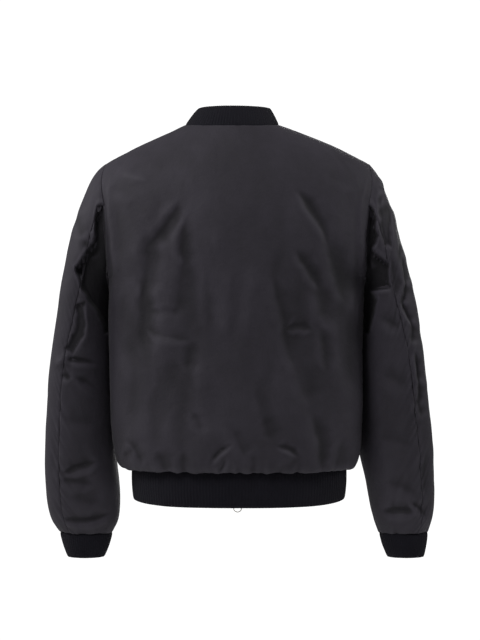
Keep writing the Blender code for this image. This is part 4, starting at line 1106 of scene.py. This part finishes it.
def makeSleeve(side, backTable, seed):
    # the upper and the under sleeve, parted along the elbow seam and the forearm seam
    name = "left" if side > 0 else "right"
    look = sleeveLook
    coarse, centres = sleeveGrid(side)
    places = evenPlaces(coarse, look["step"])
    rings, middles = splined(coarse, places), splined(centres, places)
    half = sleeveCut["halfColumns"]
    frontTable = mirrored(frontSleeveCreases, side)
    made = {}
    for piece, first in (("upper", 0), ("under", half)):
        columnCount = innerParts * round(arcs(rings, 1)[:, half].mean() / look["step"] / innerParts)
        around = first + np.linspace(0.0, half, columnCount + 1)
        grid = splined(rings.transpose(1, 0, 2), around, closed=True).transpose(1, 0, 2)
        normals = surfaceNormals(grid, middles)
        u, v = arcs(grid, 1), arcs(grid, 0)
        x, z = grid[..., 0], grid[..., 2]
        fromEnd, fromFar = v[-1:] - v, u[:, -1:] - u
        ends, seams = np.minimum(v, fromEnd), np.minimum(u, fromFar)
        held = ease(np.minimum(ends / 9.0, (seams + 7) / 12.0))
        free = ease(np.minimum(ends, seams) / look["crumpleEdge"])
        facesBack, facesFront = (turnedTo(f * normals[..., 1], look["facing"]) for f in (1, -1))
        outline = turnedTo(side * normals[..., 0], look["outlineFacing"])
        depth = creased(x, z, backTable, seed + 60) * facesBack * outline
        depth += creased(x, z, frontTable, seed + 70) * facesFront * outline
        depth *= held
        backPocket = pressed(sleevePockets[name], x, z, seed + 80) * facesBack * held
        frontPocket = pressed(sleevePockets["front"], side * x, z, seed + 90) * facesFront * held
        height = look["crumple"] * crumple(u + 500 * first, v + 300, seed + first) * free - depth
        roll, pucker, reach = look["seamRoll"], look["pucker"], look["puckerReach"]
        height += seamPull(v, u[:1] + 500, 0.15 * roll, 0.4 * pucker, reach, seed + 1)
        height += seamPull(
            fromEnd, u[-1:] + 500, roll, look["cuffPucker"], look["cuffPuckerReach"], seed + 3
        )
        height += seamPull(u, v + 500, roll, pucker, reach, seed + 5)
        height += seamPull(fromFar, v + 500, roll, pucker, reach, seed + 7)
        outer = grid + normals * height[..., None]
        outer[..., 1] += frontPocket - backPocket
        normals = surfaceNormals(outer, middles)
        # rubbed wear on ridges, and painted shade in the creases and pockets
        wearAndShade = wearAndFoldShade(outer, normals, depth + backPocket + frontPocket)
        pieceName, uv = f"sleeve_{name}_{piece}", np.stack([u, v], axis=-1) * mm
        made[piece] = makeShell(pieceName + "_cloth", outer, normals, look["wall"], uv, wearAndShade)
        dress(made[piece], shellFinish, "jacket", "shell_cloth", pieceName)
    return made, coarse[-1]


sleeves, cuffSeams = {}, {}
for sideName, side, table in (("left", 1, leftSleeveCreases), ("right", -1, rightSleeveCreases)):
    sleeves[sideName], cuffSeams[sideName] = makeSleeve(side, table, 400 + 50 * side)
print("sleeves made")

# rib knit
knitLook = {
    "wall": 1.7,
    "pointsPerRib": 6,  # a multiple of innerParts
    "rise": 0.55,  # of a rib over the valleys beside it
    "unevenness": 0.45,
    "edgeRoll": 0.7,  # how far the free edge turns in
    "seamRoll": 0.9,
    "rollWidth": 2.2,
}
hemSize = {
    "middleZ": -620.0,
    "lowZ": -651.0,
    "sideLift": 6.0,
    "lowScale": 0.985,
    "inset": 1.3,
    "swell": 1.5,
    "ribsPerStep": 3,
    "rowStep": 3.0,
}
cuffSize = {
    "lowZ": -751.0,
    "low": {"left": (267.0, -38.0), "right": (296.0, -38.0)},
    "lowHalfWidth": 32.0,
    "lowHalfDepth": 26.0,
    "inset": 0.6,
    "swell": 1.5,
    "ribs": 60,
    "rowStep": 3.0,
}
collarSize = {
    "topZ": 29.0,
    "topX": 5.5,
    "topHalfWidth": 62.0,
    "topBack": 48.0,
    "topFront": 60.0,
    "frontHeight": 37.0,
    "swell": 1.2,
    "tuck": 1.6,
    "endX": 1.0,
    "ribsPerStep": 4,
    "rowStep": 2.4,
}


def evenLoop(points, count):
    # points at even steps round a closed line
    closed = np.concatenate([points, points[:1]])
    length = runLength(closed)
    return readAlong(np.linspace(0.0, length[-1], count + 1)[:-1], length, closed)


def makeKnitBand(name, low, top, size, middle, seed, wrap=False):
    # a ribbed band between two lines with points for every part of a rib. It swells out
    # between them, its ribs stand out, and it turns in at its free edge
    look = knitLook
    tall = np.linalg.norm(top - low, axis=-1).mean()
    rowCount = innerParts * max(2, round(tall / size["rowStep"] / innerParts))
    t = np.linspace(0.0, 1.0, rowCount + 1)[:, None, None]
    away = unit((low + (top - low) * t - middle) * [1.0, 1.0, 0.0])
    base = low + (top - low) * t + away * size["swell"] * 4 * t * (1 - t)
    column = np.arange(base.shape[1])[None] / look["pointsPerRib"]
    u, v = arcs(base, 1), arcs(base, 0)
    normals = surfaceNormals(base, middle, wrap)
    wander = 0.1 * noise(column * 6, v, 21.0, seed)
    rib = (0.5 + 0.5 * np.cos((column + wander - 0.5) * math.tau)) ** 0.75
    height = look["rise"] * (rib - 0.35) + look["unevenness"] * noise(u + 300, v + 300, 31.0, seed + 1)
    for away, roll in ((v, look["edgeRoll"]), (v[-1:] - v, look["seamRoll"])):
        height -= roll * np.exp(-((away / look["rollWidth"]) ** 2))
    outer = base + normals * height[..., None]
    uv = np.stack([u, v], axis=-1) * mm
    return makeShell(name, outer, normals, look["wall"], uv, wrap=wrap)


def seamLine(backRow, leftRow, rightRow):
    # a line of the panels from the left zip edge round the back to the right one
    return np.concatenate([leftRow, backRow[::-1][1:], rightRow[::-1][1:]])


def ribPlaces(seam, size):
    # fractional places on a seam's points for every part of a rib
    steps = len(seam) - 1
    return np.linspace(0.0, steps, size["ribsPerStep"] * steps * knitLook["pointsPerRib"] + 1)


leftCoarse, rightCoarse = frontCoarse["left"], frontCoarse["right"]
hemSeam = seamLine(backCoarse[0], leftCoarse[0], rightCoarse[0])
hemTop = hemSeam - hemSize["inset"] * unit(hemSeam * [1.0, 1.0, 0.0])
hemLow = hemTop * [hemSize["lowScale"], hemSize["lowScale"], 1.0]
forward = np.clip(-hemSeam[:, 1] / body["front"][0], 0.0, 1.0) ** 2
sideways = (np.abs(hemSeam[:, 0]) / body["halfWidth"][0]) ** 6
hemLow[:, 2] = hemSize["lowZ"] - cut["frontHemDrop"] * forward + hemSize["sideLift"] * sideways
where = ribPlaces(hemSeam, hemSize)
hemMiddle = np.array([0.0, 0.0, hemSize["middleZ"]])
hemLines = splined(hemLow, where), splined(hemTop, where)
hemBand = makeKnitBand("hem_band_knit", *hemLines, hemSize, hemMiddle, 600)
dress(hemBand, knitFinish, "jacket", "rib_knit", "hem_band")

cuffs = {}
for sideName, side in (("left", 1), ("right", -1)):
    seam = cuffSeams[sideName]
    fineSeam = splined(seam, np.linspace(0.0, len(seam), 480, endpoint=False), closed=True)
    top = evenLoop(fineSeam, cuffSize["ribs"] * knitLook["pointsPerRib"])
    middle = seam.mean(axis=0)
    halfWidth, halfDepth = np.ptp(top[:, 0]) / 2, np.ptp(top[:, 1]) / 2
    lowX, lowY = cuffSize["low"][sideName]
    low = np.stack(
        [
            side * lowX + (top[:, 0] - middle[0]) / halfWidth * cuffSize["lowHalfWidth"],
            lowY + (top[:, 1] - middle[1]) / halfDepth * cuffSize["lowHalfDepth"],
            np.full(len(top), cuffSize["lowZ"]),
        ],
        axis=-1,
    )
    top = top - cuffSize["inset"] * unit((top - middle) * [1.0, 1.0, 0.0])
    cuffs[sideName] = makeKnitBand(
        f"cuff_{sideName}_knit", low, top, cuffSize, middle, 640 + side, wrap=True
    )
    dress(cuffs[sideName], knitFinish, "jacket", "rib_knit", f"cuff_{sideName}")

neckSeam = seamLine(
    backCoarse[-1, count - neckCount : count + neckCount + 1],
    leftCoarse[-1, : neckCount + 1],
    rightCoarse[-1, : neckCount + 1],
)
for end, after, endX in ((0, 1, collarSize["endX"]), (-1, -2, -collarSize["endX"])):
    stretch = (endX - neckSeam[end, 0]) / (neckSeam[end, 0] - neckSeam[after, 0])
    neckSeam[end] += stretch * (neckSeam[end] - neckSeam[after])
quarter = math.pi / 2
endTurn = math.pi - math.asin(collarSize["endX"] / collarSize["topHalfWidth"])
leftTurn = np.linspace(endTurn, quarter, neckCount + 1)
backTurn = np.linspace(quarter, -quarter, 2 * neckCount + 1)[1:-1]
turn = np.concatenate([leftTurn, backTurn, -leftTurn[::-1]])
forward = ease(np.abs(turn) / quarter - 1)
fall = cut["neckFrontDrop"] + collarSize["topZ"] - collarSize["frontHeight"]
collarTop = np.stack(
    [
        collarSize["topX"] * (1 - forward) + collarSize["topHalfWidth"] * np.sin(turn),
        np.where(np.cos(turn) > 0, collarSize["topBack"], collarSize["topFront"]) * np.cos(turn),
        collarSize["topZ"] - fall * forward,
    ],
    axis=-1,
)
where = ribPlaces(neckSeam, collarSize)
neckSeam[:, 2] -= collarSize["tuck"]
neckMiddle = np.array([smooth(0.0, chest, "centreX"), 0.0, 0.0])
collarLines = splined(collarTop, where)[::-1], splined(neckSeam, where)[::-1]
collar = makeKnitBand("collar_knit", *collarLines, collarSize, neckMiddle, 700)
dress(collar, knitFinish, "jacket", "rib_knit", "collar")
print("rib knit made")

# zip
zipSize = {
    "tapeOuterX": 16.5,
    "tapeInnerX": 3.5,
    "cordX": 1.3,  # the tape's edge, which the teeth hold
    "tapeRecess": 2.7,
    "tapeThickness": 0.9,
    "chainRecess": 1.5,
    "chainThickness": 2.6,
    "belowHem": 8.0,
    "toothPitch": 2.5,
    "toothLength": 1.35,
    "toothBevel": 0.35,
    "slackAtSlider": 0.8,  # between a slider's post and the nearest teeth
    "sliderPlate": 1.3,
    "postStart": -1.5,
    "postLength": 3.0,
    "bridgeLength": 6.6,
    "bridgeMetal": 0.9,
    "bridgeSpace": 2.6,
    "ringOuter": 7.9,
    "ringWire": 0.85,
    "ringPlay": 0.45,
    "gap": 0.3,
    "topSliderBelowNeck": 13.0,
    "bottomSliderZ": -667.0,
}


def zipPath():
    # the centre front from the zip's lower end up to the neck seam: (y, z), and (y, z) out
    edge = leftCoarse[:, 0, 1:].copy()
    edge[0, 0] += hemSize["inset"]
    hemY = edge[0, 0] * hemSize["lowScale"]
    hemZ = hemSize["lowZ"] - cut["frontHemDrop"]
    path = np.concatenate([[[hemY, hemZ - zipSize["belowHem"]], [hemY, hemZ]], edge])
    path[-1, 1] -= zipSize["gap"]
    tangent = unit(np.gradient(path, axis=0))
    out = np.stack([-tangent[:, 1], tangent[:, 0]], axis=-1)
    out *= np.where(out[:, :1] > 0, -1.0, 1.0)
    return path, out, runLength(path)


zipLine, zipOut, zipLength = zipPath()


def onZip(along):
    # places and outward directions at distances along the zip, as (0, y, z)
    spot, out = (readAlong(along, zipLength, line) for line in (zipLine, zipOut))
    middle = np.zeros_like(spot[..., :1])
    return np.concatenate([middle, spot], axis=-1), unit(np.concatenate([middle, out], axis=-1))


def rodFaces(rows, size):
    # faces of a rod of so many rings with so many points each: its side and its two ends
    ids = np.arange(rows * size).reshape(rows, size)
    return [quads(ids, True), np.stack([ids[0], ids[-1][::-1]])]


def sweptStrip(name, corners, along):
    # a closed strip: its outline, as (x, depth under the fronts' surface), goes up the zip
    spot, out = onZip(along)
    corners = np.array(corners, float)
    grid = spot[:, None] - out[:, None] * corners[None, :, 1:]
    grid[..., 0] = corners[:, 0]
    around = runLength(np.concatenate([corners, corners[:1]]))[1:]
    u, v = np.meshgrid(around, along)
    uv = np.stack([u, v], axis=-1).reshape(-1, 2) * mm
    return makeMesh(name, grid.reshape(-1, 3), rodFaces(*u.shape), {"uv": uv}, 40)


def turnOutwards(thing):
    # faces outwards, for a closed mesh
    work = bmesh.new()
    work.from_mesh(thing.data)
    bmesh.ops.recalc_face_normals(work, faces=work.faces)
    if work.calc_volume(signed=True) < 0:
        bmesh.ops.reverse_faces(work, faces=work.faces)
    work.to_mesh(thing.data)
    work.free()
    return thing


tapes = {}
along = np.linspace(0.0, zipLength[-1], 320)
for sideName, side in (("left", 1), ("right", -1)):
    cord, near, far = zipSize["cordX"], zipSize["tapeInnerX"], zipSize["tapeOuterX"]
    face, rear = zipSize["tapeRecess"], zipSize["tapeRecess"] + zipSize["tapeThickness"]
    outline = [  # the tape, with a low ridge beside the teeth
        (cord, face + 0.1),
        (near, face - 0.2),
        (near + 0.7, face - 0.5),
        (near + 1.4, face - 0.1),
        (near + 1.9, face),
        (far - 2.0, face),
        (far, face + 0.1),
        (far, rear),
        (cord, rear),
    ]
    turned = [(side * x, depth) for x, depth in outline]
    tapes[sideName] = turnOutwards(sweptStrip(f"zip_tape_{sideName}_cloth", turned, along))
    dress(tapes[sideName], tapeFinish, "jacket", "zip_tape", f"zip_tape_{sideName}")


class ZipPlace:
    # places on the zip near one height: across it, down along it and under the surface
    def __init__(self, z):
        self.spot = readAlong(z, zipLine[:, 1], zipLine)
        self.out = unit(readAlong(z, zipLine[:, 1], zipOut))
        self.down = np.array([self.out[1], -self.out[0]])
        self.down = -self.down if self.down[1] > 0 else self.down

    def put(self, across, along, depth):
        across, along, depth = np.broadcast_arrays(across, along, depth)
        y = self.spot[0] + self.down[0] * along - self.out[0] * depth
        z = self.spot[1] + self.down[1] * along - self.out[1] * depth
        return np.stack([across, y, z], axis=-1)


sliderPlaces = {
    "top": ZipPlace(zipLine[-1, 1] - zipSize["topSliderBelowNeck"]),
    "bottom": ZipPlace(zipSize["bottomSliderZ"]),
}


def repeated(faceGroups, pieces):
    # the faces of one small piece, for each of a row of the same pieces
    first = pieces.shape[1] * np.arange(len(pieces))[:, None, None]
    return [(faces[None] + first).reshape(-1, faces.shape[1]) for faces in faceGroups]


def makeTeeth():
    # interlocking teeth: each is an outline in the zip's plane, thick in the middle and
    # bevelled on both faces, repeated every pitch and half a pitch apart on the two sides
    half = zipSize["toothLength"] / 2
    upper = np.array([(3.2, half), (1.2, half), (0.5, 0.34), (-0.4, 0.62), (-0.95, 0.42)])
    outline = np.concatenate([upper[::-1] * [1.0, -1.0], upper])
    thick, bevel = zipSize["chainThickness"] / 2, zipSize["toothBevel"]
    layers = [(-thick, 0.8), (bevel - thick, 1.0), (thick - bevel, 1.0), (thick, 0.8)]
    centre = outline.mean(axis=0)
    shape = np.concatenate(
        [np.insert(centre + (outline - centre) * scale, 2, deep, axis=1) for deep, scale in layers]
    )
    slack, postEnd = zipSize["slackAtSlider"], zipSize["postStart"] + zipSize["postLength"]
    topZ = sliderPlaces["top"].put(0.0, postEnd + slack, 0.0)[2]
    lowZ = sliderPlaces["bottom"].put(0.0, zipSize["postStart"] - slack, 0.0)[2]
    start, end = (np.interp(z, zipLine[:, 1], zipLength) for z in (lowZ, topZ))
    pitch = zipSize["toothPitch"]
    points = []
    for hand, first in ((1, 0.0), (-1, pitch / 2)):
        spot, out = onZip(np.arange(start + first, end, pitch)[:, None] + shape[:, 1])
        place = spot - out * (zipSize["chainRecess"] + thick + shape[:, 2:])
        place[..., 0] = hand * shape[:, 0]
        points.append(place)
    points = np.concatenate(points)
    faces = repeated(rodFaces(len(layers), len(outline)), points)
    return makeMesh("zip_teeth", points.reshape(-1, 3), faces, None, 35)


teeth = turnOutwards(makeTeeth())
dress(teeth, nickel, "jacket", "zip_metal", "zip_chain")


def makeRing(name, place):
    # a round wire bent into a ring that hangs in the slider's bridge
    frontFace = zipSize["chainRecess"] - zipSize["gap"] - zipSize["sliderPlate"]
    wireRadius = zipSize["ringWire"]
    hang = zipSize["bridgeLength"] / 2 - zipSize["bridgeMetal"] - wireRadius - zipSize["ringPlay"]
    pivot = place.put(0.0, hang, frontFace - zipSize["bridgeSpace"] / 2)
    radius = zipSize["ringOuter"] - wireRadius
    down, out = np.array([0.0, *place.down]), np.array([0.0, *place.out])
    steps, wireSteps = 64, 16
    turn = np.linspace(0.0, math.tau, steps, endpoint=False)[:, None, None]
    wire = np.linspace(0.0, math.tau, wireSteps, endpoint=False)[None, :, None]
    away = np.array([1.0, 0.0, 0.0]) * np.sin(turn) - down * np.cos(turn)
    grid = pivot + radius * (down + away) + wireRadius * (away * np.cos(wire) + out * np.sin(wire))
    ids = np.arange(steps * wireSteps).reshape(steps, wireSteps)
    ids = np.concatenate([ids, ids[:1]])
    return turnOutwards(makeMesh(name, grid.reshape(-1, 3), [quads(ids, True)]))


for placeName, place in sliderPlaces.items():
    ring = makeRing(f"pull_ring_{placeName}", place)
    dress(ring, nickel, f"ring_{placeName}", "zip_metal", f"ring_{placeName}")
    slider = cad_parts[f"slider_{placeName}"]
    slider.data.materials.clear()
    slider.data.materials.append(nickel)
print("zip made")

# sewing
stitchLook = {
    "length": 2.6,
    "gap": 0.9,
    "radius": 0.24,
    "rise": 0.1,
    "fromEdge": 6.0,
    "startUp": 1.5,
    "aroundCount": 6,
}
# a stitch from end to end: the share of its length, its height and the share of its thickness
stitchShape = columns("share rise thick", [
    (0, -0.35, 0.5),
    (0.18, 0.06, 0.95),
    (0.5, 0.16, 1),
    (0.82, 0.06, 0.95),
    (1, -0.35, 0.5),
])


def makeStitches(name, line, normals):
    # a row of thread stitches along a line on the cloth: each is a short six-sided rod, thick
    # in the middle, whose ends dip into the cloth
    look, around = stitchLook, stitchLook["aroundCount"]
    length = runLength(line)
    pitch = look["length"] + look["gap"]
    start = np.arange(look["startUp"], length[-1] - pitch, pitch)
    where = start[:, None] + stitchShape["share"] * look["length"]
    spot, up = readAlong(where, length, line), unit(readAlong(where, length, normals))
    ahead = unit(spot[:, -1:] - spot[:, :1])
    across = unit(np.cross(np.broadcast_to(ahead, up.shape), up))
    turn = np.linspace(0.0, math.tau, around, endpoint=False)[:, None]
    centre = spot + up * (stitchShape["rise"] + look["rise"])[:, None]
    thick = look["radius"] * stitchShape["thick"][:, None, None]
    away = across[:, :, None] * np.cos(turn) + up[:, :, None] * np.sin(turn)
    rods = (centre[:, :, None] + thick * away).reshape(len(start), -1, 3)
    faces = repeated(rodFaces(len(stitchShape["share"]), around), rods)
    return turnOutwards(makeMesh(name, rods.reshape(-1, 3), faces))


for sideName in fronts:
    _, outer, normals = fronts[sideName]
    column = np.argmin(np.abs(arcs(outer, 1)[100] - stitchLook["fromEdge"]))
    stitches = makeStitches(f"zip_stitches_{sideName}", outer[:, column], normals[:, column])
    dress(stitches, threadFinish, "jacket", "shell_cloth")
print("sewing made")
# floor, light and camera
studio = {
    "floorZ": -1.25,
    "floorSize": 3.0,
    "ambient": 0.17,
    "backdrop": 1.1,
    "cameraPlace": (-0.0043, 3.0, -0.337),
    "lens": 97.5,
}
square = np.array([(-0.5, -0.5, 0.0), (0.5, -0.5, 0.0), (0.5, 0.5, 0.0), (-0.5, 0.5, 0.0)])
corners = square * studio["floorSize"] + [0.0, 0.0, studio["floorZ"]]
floor = makeMesh("studio_floor", corners / mm, [np.array([[0, 1, 2, 3]])])
floor.data.materials.append(Finish("pale_floor", (0.86, 0.86, 0.86), 0.9).material)

# name: place, size, power and what it looks at, in metres and watts
lamps = {
    "key_box": ((1.0, 1.6, 1.5), 1.0, 37.0, (0.0, 0.0, -0.25)),
    "left_box": ((2.1, -0.1, 0.5), 0.7, 17.0, (0.3, 0.0, -0.2)),
    "right_box": ((-2.0, 0.1, 0.7), 0.7, 14.0, (-0.25, 0.0, -0.3)),
    "front_box": ((-0.7, -2.6, 0.2), 1.6, 42.0, (0.0, 0.0, -0.35)),
}
for name, (place, size, power, target) in lamps.items():
    lamp = bpy.data.lights.new(name, "AREA")
    lamp.shape, lamp.size, lamp.energy = "SQUARE", size, power
    light = bpy.data.objects.new(name, lamp)
    x, y, z = (t - p for t, p in zip(target, place))
    light.location = place
    light.rotation_euler = (math.atan2(math.hypot(x, y), -z), 0.0, math.atan2(y, x) - math.pi / 2)
    bpy.context.collection.objects.link(light)

world = bpy.data.worlds.new("white_room")
world.use_nodes = True
tree = world.node_tree
glow, seen = tree.nodes["Background"], tree.nodes.new("ShaderNodeBackground")
for background, strength in ((glow, studio["ambient"]), (seen, studio["backdrop"])):
    background.inputs["Color"].default_value = (1.0, 1.0, 1.0, 1.0)
    background.inputs["Strength"].default_value = strength
ray = tree.nodes.new("ShaderNodeLightPath")
pick = tree.nodes.new("ShaderNodeMixShader")
tree.links.new(ray.outputs["Is Camera Ray"], pick.inputs[0])
tree.links.new(glow.outputs[0], pick.inputs[1])
tree.links.new(seen.outputs[0], pick.inputs[2])
tree.links.new(pick.outputs[0], tree.nodes["World Output"].inputs["Surface"])
bpy.context.scene.world = world
bpy.context.scene.view_settings.view_transform = "Standard"

camera = bpy.data.objects.new("camera", bpy.data.cameras.new("camera"))
camera.location = studio["cameraPlace"]
camera.rotation_euler = (math.pi / 2, 0.0, math.pi)
camera.data.lens = studio["lens"]
camera.data.sensor_width = 36.0
bpy.context.collection.objects.link(camera)
bpy.context.scene.camera = camera

print("studio set")
